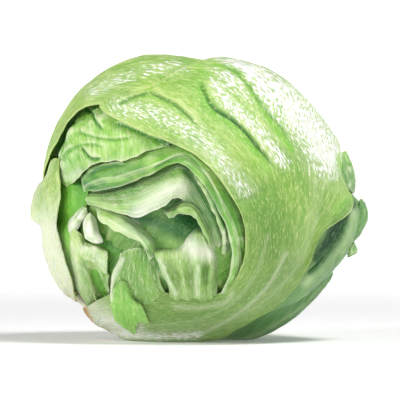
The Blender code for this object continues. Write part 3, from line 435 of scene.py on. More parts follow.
# Almost white patches of the leaves inside: painted highlights on swellings and margins, partly pale ribs
LIGHTS = (
    (((140, 211), (154, 200), (168, 190), (182, 186)), 9, 0.75),
    (((124, 256), (118, 268), (113, 281), (112, 296)), 2.6, 0.9),
    (((118, 220), (134, 228), (148, 238)), 5, 0.3),
    (((188, 240), (196, 247), (208, 250)), 9, 0.85),
    (((160, 256), (168, 274), (176, 290)), 2.5, 0.45),
    (((198, 262), (196, 280), (197, 290)), 2.5, 0.45),
    (((224, 230), (228, 250), (226, 268), (220, 288)), 4, 0.6),
    (((62, 166), (68, 176), (80, 172)), 5, 0.5),
    (((74, 244), (76, 262), (80, 284)), 4, 0.35),
    (((59, 230), (64, 246), (69, 264), (76, 286)), 3.5, 0.6),
    (((84, 246), (96, 250), (104, 262)), 5, 0.5),
)
# Pale ribs and base of the creased outer leaves, and a painted highlight along the fold's ridge:
# (path in pixels, reach in pixels, strength)
PALE_RIBS_AND_RIDGE_HIGHLIGHT = (
    (((120, 333), (160, 335), (198, 331), (216, 323), (236, 311), (256, 294), (272, 274), (284, 250)),
     2.4, 0.45),
    (((150, 322), (190, 318), (222, 306), (243, 288), (258, 262), (266, 232)), 2.0, 0.2),
    (((232, 315), (262, 298), (290, 270), (306, 240), (316, 212)), 2.2, 0.22),
    (((92, 306), (108, 318), (132, 330)), 13, 0.9),
    (((352, 212), (348, 226), (342, 239), (332, 252), (318, 267), (304, 281)), 4.5, 0.7),
    (((176, 303), (196, 304), (222, 300), (232, 290)), 3, 0.35),
)


# Creases of the leaf that is folded under the right margin, and of the crumpled leaves inside
FOLD_CREASES = (
    (((303, 272), (316, 260), (327, 247), (335, 234), (341, 220), (347, 206)), 1.2, 2.4, 7, 6, 1.0),
    (((306, 292), (320, 280), (332, 266), (340, 250)), -0.5, 0.8, 5, 6, 0.35),
)
POUCH_CREASES = (
    (((86, 106), (94, 112), (99, 121), (108, 132)), 0.5, 1.2, 4, 3, 0.8),
    (((83, 145), (90, 152), (97, 157), (106, 156)), 0.5, 1.4, 4, 2.5, 0.9),
    (((116, 121), (134, 127), (152, 135), (168, 143)), 0.5, 0.9, 4, 5, 0.7),
    (((78, 128), (90, 134), (108, 138), (126, 137), (142, 133)), 0.35, 0.5, 5, 4, 0.25),
    (((62, 160), (70, 150), (80, 144), (96, 143), (112, 147)), 0.35, 0.5, 5, 4, 0.25),
)
ROLL_CREASES = (
    (((92, 174), (100, 167), (114, 164), (130, 163)), 0.9, 0.8, 4, 3, 0.9),
    (((150, 168), (166, 160), (180, 154), (192, 157), (204, 170), (216, 190), (226, 214)), 0.8, 0.8, 5, 4,
     0.6),
)

# Display colours: ridges (with painted highlight), middle, valleys and depths (painted shade), ribs (also
# painted highlights) and the painted shade of the lower side
TINTS = {
    "outer_leaf": (
        (210, 226, 150), (154, 194, 84), (122, 174, 58), (96, 148, 50), (226, 232, 206), (118, 156, 80),
    ),
    "inner_leaf": (
        (230, 240, 196), (164, 210, 96), (110, 182, 54), (40, 116, 50), (226, 232, 208), (134, 172, 92),
    ),
    "bright_leaf": (
        (246, 249, 220), (186, 214, 126), (126, 190, 62), (50, 128, 56), (240, 244, 226), (150, 180, 108),
    ),
    "vivid_leaf": (
        (164, 212, 100), (122, 190, 62), (98, 174, 48), (40, 118, 44), (214, 230, 180), (104, 160, 62),
    ),
    "core_leaf": (
        (198, 224, 142), (146, 196, 88), (112, 172, 62), (34, 104, 48), (214, 230, 180), (112, 156, 74),
    ),
    "flap_leaf": (
        (218, 238, 168), (158, 212, 98), (116, 186, 64), (66, 140, 48), (226, 240, 190), (140, 196, 90),
    ),
    "white_leaf": (
        (250, 251, 244), (232, 240, 212), (176, 212, 124), (110, 160, 70), (248, 249, 242), (214, 224, 190),
    ),
    "shaded_leaf": (
        (150, 190, 118), (106, 160, 82), (82, 138, 62), (44, 96, 38), (176, 204, 150), (88, 134, 74),
    ),
    "fold_leaf": (
        (176, 208, 134), (126, 172, 94), (92, 146, 72), (22, 74, 46), (190, 214, 160), (98, 146, 82),
    ),
    "lobe_leaf": (
        (220, 236, 186), (132, 186, 78), (78, 142, 50), (40, 98, 38), (214, 230, 180), (80, 132, 60),
    ),
}
# Painted shade greens of the creases: the sunk side and the painted shadow line along it
PLAIN_CREASE_TINTS = ((128, 196, 62), (44, 112, 40))
CREASE_TINTS = {"fold_leaf": ((62, 118, 62), (26, 78, 48)), "inner_leaf": ((112, 190, 56), (30, 104, 44))}
# How strong the painted glints and painted shade of the crinkles are, and how streaked
SHEER = {
    "outer_leaf": (0.55, 0.5),
    "inner_leaf": (0.4, 0.3),
    "bright_leaf": (0.35, 0.14),
    "vivid_leaf": (0.1, 0.3),
    "core_leaf": (0.15, 0.4),
    "flap_leaf": (0.3, 0.6),
    "white_leaf": (0.2, 0.12),
    "shaded_leaf": (0.15, 0.35),
    "fold_leaf": (0.25, 0.3),
    "lobe_leaf": (0.4, 0.3),
}
RUST = (206, 128, 56)
# Painted highlight whites: over the sheen marks and on their brightest glints
SHEEN_TINT = (230, 239, 208)
SHINE_TINT = (252, 253, 249)
PITH_DARK = (206, 206, 168)
PITH_LIGHT = (226, 226, 200)
STEM_RUST = (196, 128, 62)
# What the materials read from each mesh
MASK_NAMES = ("deep", "valley", "rib", "vein", "edge", "crease_shade", "line", "sheen", "dusk", "rust")


def unit(vectors):
    """The vectors at length one."""
    return vectors / np.maximum(np.linalg.norm(vectors, axis=-1, keepdims=True), 1e-12)


def spline(points, steps, closed=False):
    """Catmull-Rom samples through the points, along their first axis."""
    points = np.asarray(points, float)
    count = len(points)
    if closed:
        padded = np.concatenate([points[-1:], points, points[:2]])
        places = np.asarray(steps, float) % count
    else:
        before = 2 * points[:1] - points[1:2]
        after = 2 * points[-1:] - points[-2:-1]
        padded = np.concatenate([before, points, after])
        places = np.clip(np.asarray(steps, float), 0, count - 1)
    whole = np.floor(places).astype(int)
    if not closed:
        whole = np.minimum(whole, count - 2)
    part = (places - whole).reshape((-1,) + (1,) * (points.ndim - 1))
    a, b, c, d = (padded[whole + k] for k in range(4))
    bend = 2 * a - 5 * b + 4 * c - d
    twist = 3 * b - a - 3 * c + d
    return 0.5 * (2 * b + (c - a) * part + bend * part**2 + twist * part**3)


def skin_radius(directions):
    """Distance from the head's centre to its skin, which is flat where the head rests."""
    angle = np.arctan2(directions[..., 2], directions[..., 0]) % (2 * math.pi)
    steps = (angle / (2 * math.pi) * len(SKIN_RADII)).ravel()
    side = spline(np.array(SKIN_RADII) * MM, steps, closed=True).reshape(angle.shape)
    depth = np.where(directions[..., 1] < 0, FRONT_DEPTH, BACK_DEPTH)
    across = np.hypot(directions[..., 0], directions[..., 2])
    round_skin = 1 / np.sqrt((across / side) ** 2 + (directions[..., 1] / depth) ** 2)
    floor = CENTRE_HEIGHT / np.maximum(-directions[..., 2], 1e-6)
    near = np.clip(0.5 + 0.5 * (floor - round_skin) / FLOOR_BLEND, 0, 1)
    return floor * (1 - near) + round_skin * near - FLOOR_BLEND * near * (1 - near)


def towards(across, down, side):
    """Direction from the head's centre to a pixel of the front view."""
    x = (across - PHOTO_CENTRE[0]) * PIXEL
    z = (PHOTO_CENTRE[1] - down) * PIXEL
    if abs(side) != 1.0:
        return unit(np.array([x, side * MM, z]))
    turn = math.atan2(z, x) % (2 * math.pi)
    rim = spline(np.array(SKIN_RADII) * MM, [turn / (2 * math.pi) * len(SKIN_RADII)], closed=True)[0]
    depth = FRONT_DEPTH if side < 0 else BACK_DEPTH
    share = min(1.0, math.hypot(x, z) / rim)
    return unit(np.array([x, side * depth * math.sqrt(1 - share**2), z]))


def towards_deep(across, down, depth):
    """Direction in which a point that far below the skin is seen at a pixel of the front view."""
    direction = towards(across, down, FRONT)
    x = (across - PHOTO_CENTRE[0]) * PIXEL
    z = (PHOTO_CENTRE[1] - down) * PIXEL
    for _ in range(8):
        radius = float(skin_radius(direction)) - depth * MM
        y = math.sqrt(max(radius**2 - x**2 - z**2, (0.2 * radius) ** 2))
        direction = unit(np.array([x, -y, z]))
    return direction


def net_of(rows):
    """Rows of a leaf's net as unit directions, with the height above the skin behind them."""
    made = []
    for row in rows:
        if len(row[0]) == 3:
            made.append([[*towards_deep(a, d, depth), -depth * MM] for a, d, depth in row])
        else:
            made.append([[*towards(a, d, side), height * MM] for a, d, side, height in row])
    return np.array(made)


def hashed(cells, seed):
    """Repeatable random whole numbers for whole-number places."""
    c = cells.astype(np.int64)
    h = c[..., 0] * 374761393 + c[..., 1] * 668265263 + c[..., 2] * 1274126177 + seed * 974634777
    h = h & 0xFFFFFFFF
    h = ((h ^ (h >> 13)) * 1103515245) & 0xFFFFFFFF
    h = ((h ^ (h >> 15)) * 2246822519) & 0xFFFFFFFF
    return h ^ (h >> 16)


def noise(places, seed=0):
    """Smooth gradient noise, about -1 to 1, over places with three coordinates."""
    base = np.floor(places)
    part = places - base
    ease = part**3 * (part * (part * 6 - 15) + 10)
    total = np.zeros(places.shape[:-1])
    for corner in np.ndindex(2, 2, 2):
        step = np.array(corner)
        h = hashed(base + step, seed)
        away = part - step
        slope = sum(((h >> (10 * k)) & 1023) / 511.5 * away[..., k] - away[..., k] for k in range(3))
        share = np.prod(np.where(step == 1, ease, 1 - ease), axis=-1)
        total += share * slope
    return total * 1.3


def flat_noise(x, y, z, seed):
    """Noise over three separate coordinates, each an array or a number."""
    return noise(np.stack(np.broadcast_arrays(x, y, z), -1), seed)


def layered(places, octaves, seed=0):
    """Noise in octaves, each half as strong and twice as fine."""
    total = 0
    for k in range(octaves):
        total = total + noise(places * 2**k + 17.3 * k, seed + k) / 2**k
    return total


def smooth_step(low, high, values):
    part = np.clip((values - low) / (high - low), 0, 1)
    return part * part * (3 - 2 * part)


def seen_at(points):
    """Pixels across and down at which the front view shows the points."""
    across = points[..., 0] / PIXEL + PHOTO_CENTRE[0]
    down = PHOTO_CENTRE[1] - (points[..., 2] - CENTRE_HEIGHT) / PIXEL
    return across, down


def nearest_on(path, across, down):
    """Distance to a path in pixels, 1 on its left hand and -1 on its right, and the share of it passed."""
    fine = spline(np.array(path, float), np.linspace(0, len(path) - 1, 8 * len(path)))
    best = np.full(across.shape, 1e9)
    side = np.zeros(across.shape)
    along = np.zeros(across.shape)
    for k in range(len(fine) - 1):
        start = fine[k]
        run = fine[k + 1] - start
        t = np.clip(((across - start[0]) * run[0] + (down - start[1]) * run[1]) / (run @ run), 0, 1)
        dx = across - start[0] - t * run[0]
        dy = down - start[1] - t * run[1]
        away = np.hypot(dx, dy)
        closer = away < best
        best = np.where(closer, away, best)
        side = np.where(closer, np.sign(run[1] * dx - run[0] * dy), side)
        along = np.where(closer, (k + t) / (len(fine) - 1), along)
    return best, side, along


def crease_heights(points, creases):
    """Steps in mm along the creases of the half that faces the camera, with their painted shade sides and
    shadow lines.
    """
    across, down = seen_at(points)
    total = np.zeros(across.shape)
    facing = smooth_step(0, -8 * MM, points[..., 1])
    crease_shade = np.zeros(across.shape)
    line = np.zeros(across.shape)
    for path, up, sunk, up_reach, sunk_reach, green in creases:
        away, side, along = nearest_on(path, across, down)
        taper = facing * smooth_step(0, 0.1, along) * smooth_step(1, 0.75, along)
        rise = up * np.exp(-away / up_reach)
        fall = -sunk * np.exp(-((away / sunk_reach) ** 2))
        edge = smooth_step(-1.2, 1.2, away * side)
        total += taper * (rise * edge + fall * (1 - edge))
        crease_shade = np.maximum(crease_shade, taper * green * np.exp(-((away / (1.6 * sunk_reach)) ** 2)) * (1 - edge))
        line = np.maximum(line, taper * green * np.exp(-(((away * side + 0.8) / 1.3) ** 2)))
    return total, crease_shade, line


def marks_of(points, marks):
    """How strongly the marks lie at each point of the front, from 0 up."""
    across, down = seen_at(points)
    total = np.zeros(across.shape)
    for path, reach, strength in marks:
        away, _, _ = nearest_on(path, across, down)
        total = np.maximum(total, strength * np.exp(-((away / reach) ** 2)))
    return total * smooth_step(*MARKS_FADE, points[..., 1])


# How a leaf is worked where its entry says nothing else. Sizes and heights are in mm, and the four
# numbers of ruffle and trim are for the foot, the tip and the two sides.
PLAIN = {
    "rib": None,
    "rib_width": 5.0,
    "rib_rise": 1.2,
    "rib_pale": 1.0,
    "veins": 0.25,
    "streaks": 0.25,
    "along": "u",
    "crumple": 0.4,
    "crumple_size": 11.0,
    "swell": 0.7,
    "ruffle": (0, 0, 0, 0),
    "trim": (0, 0, 0, 0),
    "trim_size": 9.0,
    "rounded": (0, 0),
    "creases": (),
    "base_pale": 0.0,
    "edge_pale": 0.3,
    "white": None,
    "cut": 0.0,
}


class Leaf:
    """What one leaf is laid on and how it is worked."""

    def __init__(self, name, node, net, cells, look, seed, **more):
        self.name = name
        self.node = node
        self.net = net
        self.cells = cells
        self.look = look
        self.seed = seed
        self.inner = len(net[0][0]) == 3
        self.length = INNER_LENGTH if self.inner else OUTER_LENGTH
        for key, value in {**PLAIN, **more}.items():
            setattr(self, key, value)


LEAVES = (
    Leaf("top_leaf_blade", "top_leaf", TOP_LEAF, (200, 105), "outer_leaf", 1, rib=(0.55, 0.8),
         rib_width=7, rib_rise=1.0, veins=0.14, streaks=0.55, crumple=0.3, swell=0.8,
         ruffle=(0, 0, 0.5, 0), edge_pale=0.8, creases=BODY_CREASES[3:], crumple_size=13, cut=5),
    Leaf("left_leaf_blade", "left_leaf", LEFT_LEAF, (120, 60), "outer_leaf", 2, rib=(0.42, 0.5),
         rib_width=8, rib_rise=1.2, veins=0.1, streaks=0.4, crumple=0.4, swell=0.5,
         ruffle=(0, 0.5, 0.4, 0.6), trim=(0, 0, 0.012, 0), edge_pale=0.6, white=0.56, cut=5),
    Leaf("body_leaf_blade", "body_leaf", BODY_LEAF, (280, 160), "outer_leaf", 3, rib=(0.62, 0.75),
         rib_width=9, rib_rise=1.0, rib_pale=0.15, veins=0.14, streaks=0.5, crumple=0.3, swell=0.9,
         ruffle=(0, 0, 0.5, 0.4), edge_pale=0.8, creases=BODY_CREASES, crumple_size=13, cut=8),
    Leaf("fold_leaf_blade", "fold_leaf", FOLD_LEAF, (130, 95), "fold_leaf", 4, rounded=(0, 0.7),
         streaks=0.3, crumple=0.3, swell=0.7, ruffle=(0, 1.2, 0, 0.9), trim=(0, 0.04, 0, 0.08),
         edge_pale=0.5, creases=FOLD_CREASES),
    Leaf("first_lobe", "side_leaf", LOBE_ONE, (45, 60), "lobe_leaf", 31, rounded=(0.8, 0.7), crumple=0.7,
         crumple_size=7, swell=0.4, ruffle=(0.6, 0.6, 0, 0.9), edge_pale=0.5),
    Leaf("second_lobe", "fold_leaf", LOBE_TWO, (45, 38), "shaded_leaf", 32, rounded=(1, 1), crumple=0.8,
         crumple_size=7, swell=0.4, ruffle=(0.6, 0.6, 0, 0.9), edge_pale=0.3),
    Leaf("third_lobe", "fold_leaf", LOBE_THREE, (30, 30), "lobe_leaf", 33, rounded=(1, 1), crumple=0.6,
         crumple_size=5, swell=0.2, ruffle=(0.3, 0.3, 0, 0.3), edge_pale=0.3),
    Leaf("under_leaf_blade", "under_leaf", UNDER_LEAF, (100, 85), "shaded_leaf", 5, rib=(0.45, 0.6),
         rib_rise=0, veins=0.35, streaks=0.35, crumple=0.3, swell=0.6, ruffle=(0, 0.8, 0, 0),
         rounded=(0, 1)),
    Leaf("back_leaf_blade", "back_leaf", BACK_LEAF, (130, 85), "outer_leaf", 6, rounded=(0, 1),
         rib=(0.5, 0.7), rib_width=9, rib_rise=1.4, veins=0.35, streaks=0.25, crumple=0.4, swell=0.9,
         ruffle=(0, 0.8, 0.6, 0.8), trim=(0, 0.05, 0, 0.04), edge_pale=0.6, base_pale=0.8, cut=5),
    Leaf("side_leaf_blade", "side_leaf", SIDE_LEAF, (115, 70), "outer_leaf", 7, rounded=(0, 1),
         rib=(0.6, 0.7), rib_width=8, rib_rise=1.0, veins=0.3, streaks=0.25, crumple=0.4, swell=0.6,
         ruffle=(0, 0.8, 0, 0.6), trim=(0, 0.05, 0, 0.04), edge_pale=0.6, base_pale=0.8, cut=5),
    Leaf("torn_flap_blade", "torn_flap", TORN_FLAP, (75, 60), "flap_leaf", 8, streaks=0.9, crumple=0.4,
         crumple_size=6, swell=0.3, trim=(0, 0.06, 0.06, 0.06), trim_size=4, edge_pale=0.6),
    Leaf("pouch_leaf_blade", "heart", POUCH_LEAF, (120, 165), "inner_leaf", 11, streaks=0.2, crumple=1.5,
         crumple_size=20, swell=1.2, ruffle=(0, 1.2, 0, 0), edge_pale=0.7, trim=(0, 0.06, 0, 0),
         trim_size=7, creases=POUCH_CREASES),
    Leaf("roll_leaf_blade", "heart", ROLL_LEAF, (80, 220), "inner_leaf", 12, streaks=0.3, crumple=1.0,
         crumple_size=15, swell=1.0, along="v", ruffle=(0, 1.0, 0, 0), edge_pale=0.8,
         trim=(0, 0.16, 0, 0), trim_size=8, creases=ROLL_CREASES),
    Leaf("ribbon_leaf_blade", "heart", RIBBON_LEAF, (30, 80), "inner_leaf", 13, rounded=(0.6, 0.6),
         crumple=0.7, crumple_size=7, swell=0.3, along="v", ruffle=(0, 0.7, 0, 0), edge_pale=0.8,
         trim=(0, 0.2, 0, 0), trim_size=6),
    Leaf("bright_leaf_blade", "heart", BRIGHT_LEAF, (75, 210), "bright_leaf", 14, streaks=0.12,
         crumple=0.9, crumple_size=15, swell=0.9, along="v", ruffle=(0, 1.0, 0, 0), edge_pale=0.9,
         trim=(0, 0.12, 0, 0), trim_size=7),
    Leaf("lip_leaf_blade", "heart", LIP_LEAF, (40, 105), "inner_leaf", 15, crumple=0.8, crumple_size=12,
         swell=0.3, along="v", ruffle=(0, 0.8, 0, 0), edge_pale=0.8, trim=(0, 0.15, 0, 0), trim_size=6),
    Leaf("tongue_leaf_blade", "heart", TONGUE_LEAF, (55, 95), "bright_leaf", 16, crumple=0.9,
         crumple_size=12, swell=0.6, along="v", ruffle=(0, 0.9, 0, 0), edge_pale=0.9,
         trim=(0, 0.15, 0, 0), trim_size=6),
    Leaf("pleat_leaf_blade", "heart", PLEAT_LEAF, (95, 130), "bright_leaf", 17, streaks=0.3, crumple=0.5,
         crumple_size=12, swell=0.3),
    Leaf("glow_leaf_blade", "heart", GLOW_LEAF, (65, 60), "vivid_leaf", 24, crumple=0.8, crumple_size=12,
         swell=0.4, edge_pale=0.5),
    Leaf("smooth_leaf_blade", "heart", SMOOTH_LEAF, (85, 75), "inner_leaf", 18, streaks=0.6, crumple=0.7,
         crumple_size=13, swell=0.4, ruffle=(0.5, 0, 0.7, 0), edge_pale=0.9),
    Leaf("chip_leaf_blade", "heart", CHIP_LEAF, (36, 30), "white_leaf", 19, rounded=(0.5, 0.8),
         crumple=0.7, crumple_size=8, swell=0.2),
    Leaf("puff_leaf_blade", "heart", PUFF_LEAF, (36, 30), "white_leaf", 20, rounded=(0.8, 0.8),
         crumple=0.8, crumple_size=8, swell=0.2),
    Leaf("frill_leaf_blade", "heart", FRILL_LEAF, (90, 50), "bright_leaf", 21, crumple=1.0,
         crumple_size=8, swell=0.3, ruffle=(0, 0, 0.8, 0.5), trim=(0, 0, 0.08, 0.05), trim_size=5),
    Leaf("second_rib_blade", "heart", SECOND_RIB, (75, 50), "bright_leaf", 22, streaks=0.3, crumple=0.2,
         swell=0.2),
    Leaf("shade_leaf_blade", "heart", SHADE_LEAF, (70, 40), "vivid_leaf", 23, crumple=0.3, swell=0.3),
)


def net_places(leaf, s, t):
    """Where in the net each point of the sheet lies, with torn margins and rounded corners."""
    torn = []
    for side, share in enumerate((t, t, s, s)):
        run = np.stack([share * leaf.length / leaf.trim_size, 0 * share, 0 * share], -1)
        torn.append(0.5 + 0.5 * layered(run, 3, leaf.seed + 31 * side))
    foot, tip, left, right = (amount * share for amount, share in zip(leaf.trim, torn))
    u = foot + s * (1 - foot - tip)
    v = left + t * (1 - left - right)
    corner = leaf.rounded[0] * (1 - s) ** 2 + leaf.rounded[1] * s**2
    x = 2 * u - 1
    y = 2 * v - 1
    u = 0.5 + 0.5 * x * np.sqrt(1 - 0.5 * corner * y**2)
    v = 0.5 + 0.5 * y * np.sqrt(1 - 0.5 * corner * x**2)
    return u, v


def net_points(net, cells, u, v):
    """The net's smooth surface at places from 0 to 1: directions from the head's centre, and heights."""
    # The net is sampled on a lattice four times as fine as the sheet, then read between its places
    steps = [4 * count for count in cells]
    lattice = spline(net, np.linspace(0, net.shape[0] - 1, steps[0] + 1))
    lattice = spline(np.swapaxes(lattice, 0, 1), np.linspace(0, net.shape[1] - 1, steps[1] + 1))
    lattice = np.swapaxes(lattice, 0, 1)
    a = np.clip(u, 0, 1) * steps[0]
    b = np.clip(v, 0, 1) * steps[1]
    a0 = np.minimum(a.astype(int), steps[0] - 1)
    b0 = np.minimum(b.astype(int), steps[1] - 1)
    fa = (a - a0)[..., None]
    fb = (b - b0)[..., None]
    near = lattice[a0, b0] * (1 - fa) + lattice[a0 + 1, b0] * fa
    far = lattice[a0, b0 + 1] * (1 - fa) + lattice[a0 + 1, b0 + 1] * fa
    grid = near * (1 - fb) + far * fb
    return unit(grid[..., :3]), grid[..., 3]


def crumples(leaf, points):
    """Broad swellings and sharp-edged crumples, in mm."""
    in_mm = points / MM
    size = leaf.crumple_size
    relief = leaf.swell * noise(in_mm / 38.0, 3) + 0.45 * leaf.swell * noise(in_mm / 19.0, leaf.seed)
    warped = in_mm / size + 0.5 * noise(in_mm / (1.7 * size), leaf.seed + 4)[..., None]
    broad = noise(warped, leaf.seed + 5)
    relief += leaf.crumple * (1.8 * np.abs(broad) - 0.6 + 0.5 * np.abs(noise(2.1 * warped, leaf.seed + 6)))
    return relief + leaf.crumple * 0.16 * noise(in_mm / (0.35 * size), leaf.seed + 9)


def rib_and_veins(leaf, u, t, width):
    """Relief in mm of the middle rib and its side veins, with how strongly each shows."""
    place, taper = leaf.rib
    off_rib = t - (place + 0.02 * np.sin(u * 9 + leaf.seed))
    off = off_rib / (leaf.rib_width * (1 - taper * u) / np.maximum(width, 1))
    rib = np.exp(-(off**2))
    groove = np.exp(-((off - 0.9) ** 2) * 6) * 0.25
    relief = leaf.rib_rise * (1 - 0.8 * u) * (rib - groove)
    from_rib = np.abs(off_rib) * width
    veins = np.zeros(u.shape)
    for k in range(int(1 / VEIN_STEP)):
        for hand in (-1, 1):
            root = (k + (0.5 if hand > 0 else 0.0)) * VEIN_STEP
            reach = np.maximum(off_rib * hand, 0) * width / leaf.length
            centre = root + 1.15 * reach**0.85 + 0.012 * flat_noise(reach * 14, k, hand, 7)
            gap = (u - centre) * leaf.length * 0.75 / (0.75 + 0.02 * from_rib)
            ridge = np.exp(-((gap / (0.9 + 1.2 * np.exp(-from_rib / 14))) ** 2))
            ridge = ridge * (off_rib * hand > 0) * np.exp(-from_rib / 55)
            relief += leaf.veins * 1.6 * ridge
            veins = np.maximum(veins, ridge)
    return relief, rib, veins


def ruffles(leaf, s, t, u_mm, v_mm):
    """Waves of the margins in mm, outwards and in."""
    relief = np.zeros(s.shape)
    spans = (u_mm.max(), u_mm.max(), v_mm.max(), v_mm.max())
    shares = (s, 1 - s, t, 1 - t)
    runs = (v_mm, v_mm, u_mm, u_mm)
    for k, amount in enumerate(leaf.ruffle):
        if amount:
            near = np.exp(-shares[k] * spans[k] / 6.0)
            relief += amount * near * flat_noise(runs[k] / 8.0, k, shares[k] * 3, leaf.seed + 40 + k)
    return relief


def hollowness(relief):
    """How far each place lies below the relief around it, from -1 to 1."""
    blurred = relief
    for _ in range(4):
        padded = np.pad(blurred, 3, mode="edge")
        moved = [
            padded[3 + i : 3 + i + relief.shape[0], 3 + j : 3 + j + relief.shape[1]]
            for i in (-3, 0, 3)
            for j in (-3, 0, 3)
        ]
        blurred = sum(moved) / 9
    return np.clip((blurred - relief) / 0.4, -1, 1)


def leaf_surface(leaf):
    """Points of the leaf's outer surface and the masks that its colours use."""
    net = net_of(leaf.net)
    rows, columns = leaf.cells
    s, t = np.meshgrid(np.linspace(0, 1, rows + 1), np.linspace(0, 1, columns + 1), indexing="ij")
    u, v = net_places(leaf, s, t)
    directions, heights = net_points(net, leaf.cells, u, v)
    points = directions * (skin_radius(directions) + heights)[..., None]
    points[..., 2] += CENTRE_HEIGHT
    run_u = np.gradient(points, axis=0)
    run_v = np.gradient(points, axis=1)
    normals = unit(np.cross(run_u, run_v))
    if (normals * directions).sum(-1).mean() < 0:
        normals = -normals
    # Size of the leaf in mm, for patterns that follow it
    u_mm = np.cumsum(np.linalg.norm(run_u, axis=-1).mean(axis=1))[:, None] / MM + 0 * s
    width = np.linalg.norm(run_v, axis=-1).sum(axis=1)[:, None] / MM
    v_mm = t * float(width.mean())
    # Streaks run along the leaf and fan out with it
    run, over = (u_mm, v_mm) if leaf.along == "u" else (v_mm, u_mm)
    lines = flat_noise(over / 2.6, run / 28.0, leaf.seed, leaf.seed + 11)
    fine_lines = flat_noise(over / 1.3, run / 11.0, leaf.seed, leaf.seed + 12)
    relief = crumples(leaf, points) + leaf.streaks * (0.6 * lines + 0.35 * fine_lines)
    rib = np.zeros(u.shape)
    vein = smooth_step(0.25, 0.6, lines)
    if leaf.rib is not None:
        raised, rib, veins = rib_and_veins(leaf, u, t, width)
        relief += raised
        vein = np.maximum(vein, veins)
    relief += ruffles(leaf, s, t, u_mm, v_mm)
    step, crease_shade, line = crease_heights(points, leaf.creases)
    creased = bool(leaf.creases) and not leaf.inner
    if creased:
        crease_shade = np.maximum(crease_shade, marks_of(points, GREENS))
    relief += step
    points = points + normals * (relief * MM)[..., None]
    points[..., 2] = np.maximum(points[..., 2], 0.0)
    # Masks for the colours
    centre = points - np.array([0, 0, CENTRE_HEIGHT])
    below = (skin_radius(unit(centre)) - np.linalg.norm(centre, axis=-1)) / MM
    edge = np.minimum(np.minimum(s, 1 - s) * u_mm.max(), np.minimum(t, 1 - t) * v_mm.max())
    pale = np.clip(rib * (1 - 0.75 * u) * leaf.rib_pale + leaf.base_pale * smooth_step(0.45, 0.0, u), 0, 1)
    # Leaves inside also take painted highlights here, and creased outer leaves a painted highlight along
    # the fold's ridge
    if creased or leaf.inner:
        pale = np.maximum(pale, marks_of(points, LIGHTS if leaf.inner else PALE_RIBS_AND_RIDGE_HIGHLIGHT))
    if leaf.white is not None:
        pale = np.maximum(pale, smooth_step(leaf.white + 0.22, leaf.white - 0.2, s + 0.05 * lines))
    masks = {
        # Painted shade: darker green deeper below the skin and under the shade marks
        "deep": np.maximum(smooth_step(4.5, 14.0, below), marks_of(points, SHADES)),
        # Painted shade in the hollows of the relief, and painted highlight on its ridges
        "valley": 0.5 + 0.5 * hollowness(relief),
        "rib": pale,
        "vein": vein,
        "edge": leaf.edge_pale * np.exp(-edge / 0.8),
        # Painted shade green on the sunk sides of the creases
        "crease_shade": crease_shade,
        # Painted shadow line along the creases
        "line": line,
        # Painted white highlight, kept off the shaded sides of the creases
        "sheen": marks_of(points, SHEENS) * (1 - crease_shade) if creased else 0 * u,
        # Painted shade on the lower side of the head
        "dusk": smooth_step(-0.012, -0.052, points[..., 2] - CENTRE_HEIGHT),
        "rust": smooth_step(leaf.cut, 0.4 * leaf.cut, u_mm) if leaf.cut else 0 * u,
    }
    # Where the patterns of the material lie: along the leaf, over the streaks and apart for each leaf
    place = np.stack([u_mm, over, 0 * u_mm + 13.0 * leaf.seed], -1)
    return points, masks, place


def store_masks(mesh, masks, place=None):
    """Masks, and the vector place in mm, as attributes that the materials read."""
    for key, values in masks.items():
        layer = mesh.attributes.new(key, "FLOAT", "POINT")
        layer.data.foreach_set("value", values.ravel().astype(np.float32))
    if place is not None:
        layer = mesh.attributes.new("place", "FLOAT_VECTOR", "POINT")
        layer.data.foreach_set("vector", place.reshape(-1).astype(np.float32))


def sheet_mesh(name, points):
    """A mesh over a grid of points, facing out of the head."""
    rows, columns = points.shape[:2]
    index = np.arange(rows * columns).reshape(rows, columns)
    a, b = index[:-1, :-1].ravel(), index[1:, :-1].ravel()
    c, d = index[1:, 1:].ravel(), index[:-1, 1:].ravel()
    quads = np.stack([a, b, c, d], -1)
    flat = points.reshape(-1, 3)
    normals = np.cross(flat[b] - flat[a], flat[d] - flat[a])
    if (normals * (flat[a] - [0, 0, CENTRE_HEIGHT])).sum() < 0:
        quads = quads[:, ::-1]
    mesh = bpy.data.meshes.new(name)
    mesh.from_pydata(flat.tolist(), [], quads.tolist())
    mesh.shade_smooth()
    return mesh


def linear(red, green, blue):
    """A display colour of 0 to 255 as linear light."""
    parts = [c / 255 for c in (red, green, blue)]
    return tuple(c / 12.92 if c <= 0.04045 else ((c + 0.055) / 1.055) ** 2.4 for c in parts)


def add_node(tree, kind, **settings):
    made = tree.nodes.new(kind)
    for key, value in settings.items():
        setattr(made, key, value)
    return made


def mask(tree, name, output="Fac"):
    return add_node(tree, "ShaderNodeAttribute", attribute_name=name).outputs[output]


def feed(tree, socket, value):
    """Links a socket, or sets a number or a colour, on an input."""
    if isinstance(value, bpy.types.NodeSocket):
        tree.links.new(value, socket)
    else:
        socket.default_value = (*value, 1) if isinstance(value, tuple) else value


def blend(tree, share, first, second):
    """A mix of two colours or sockets, by a share or a socket."""
    mix = add_node(tree, "ShaderNodeMix", data_type="RGBA")
    for place, value in ((0, share), (6, first), (7, second)):
        feed(tree, mix.inputs[place], value)
    return mix.outputs[2]


def joined(tree, operation, first, second):
    node = add_node(tree, "ShaderNodeMath", operation=operation)
    for place, value in enumerate((first, second)):
        feed(tree, node.inputs[place], value)
    return node.outputs[0]


def times(tree, first, second):
    return joined(tree, "MULTIPLY", first, second)


def plus(tree, first, second):
    return joined(tree, "ADD", first, second)


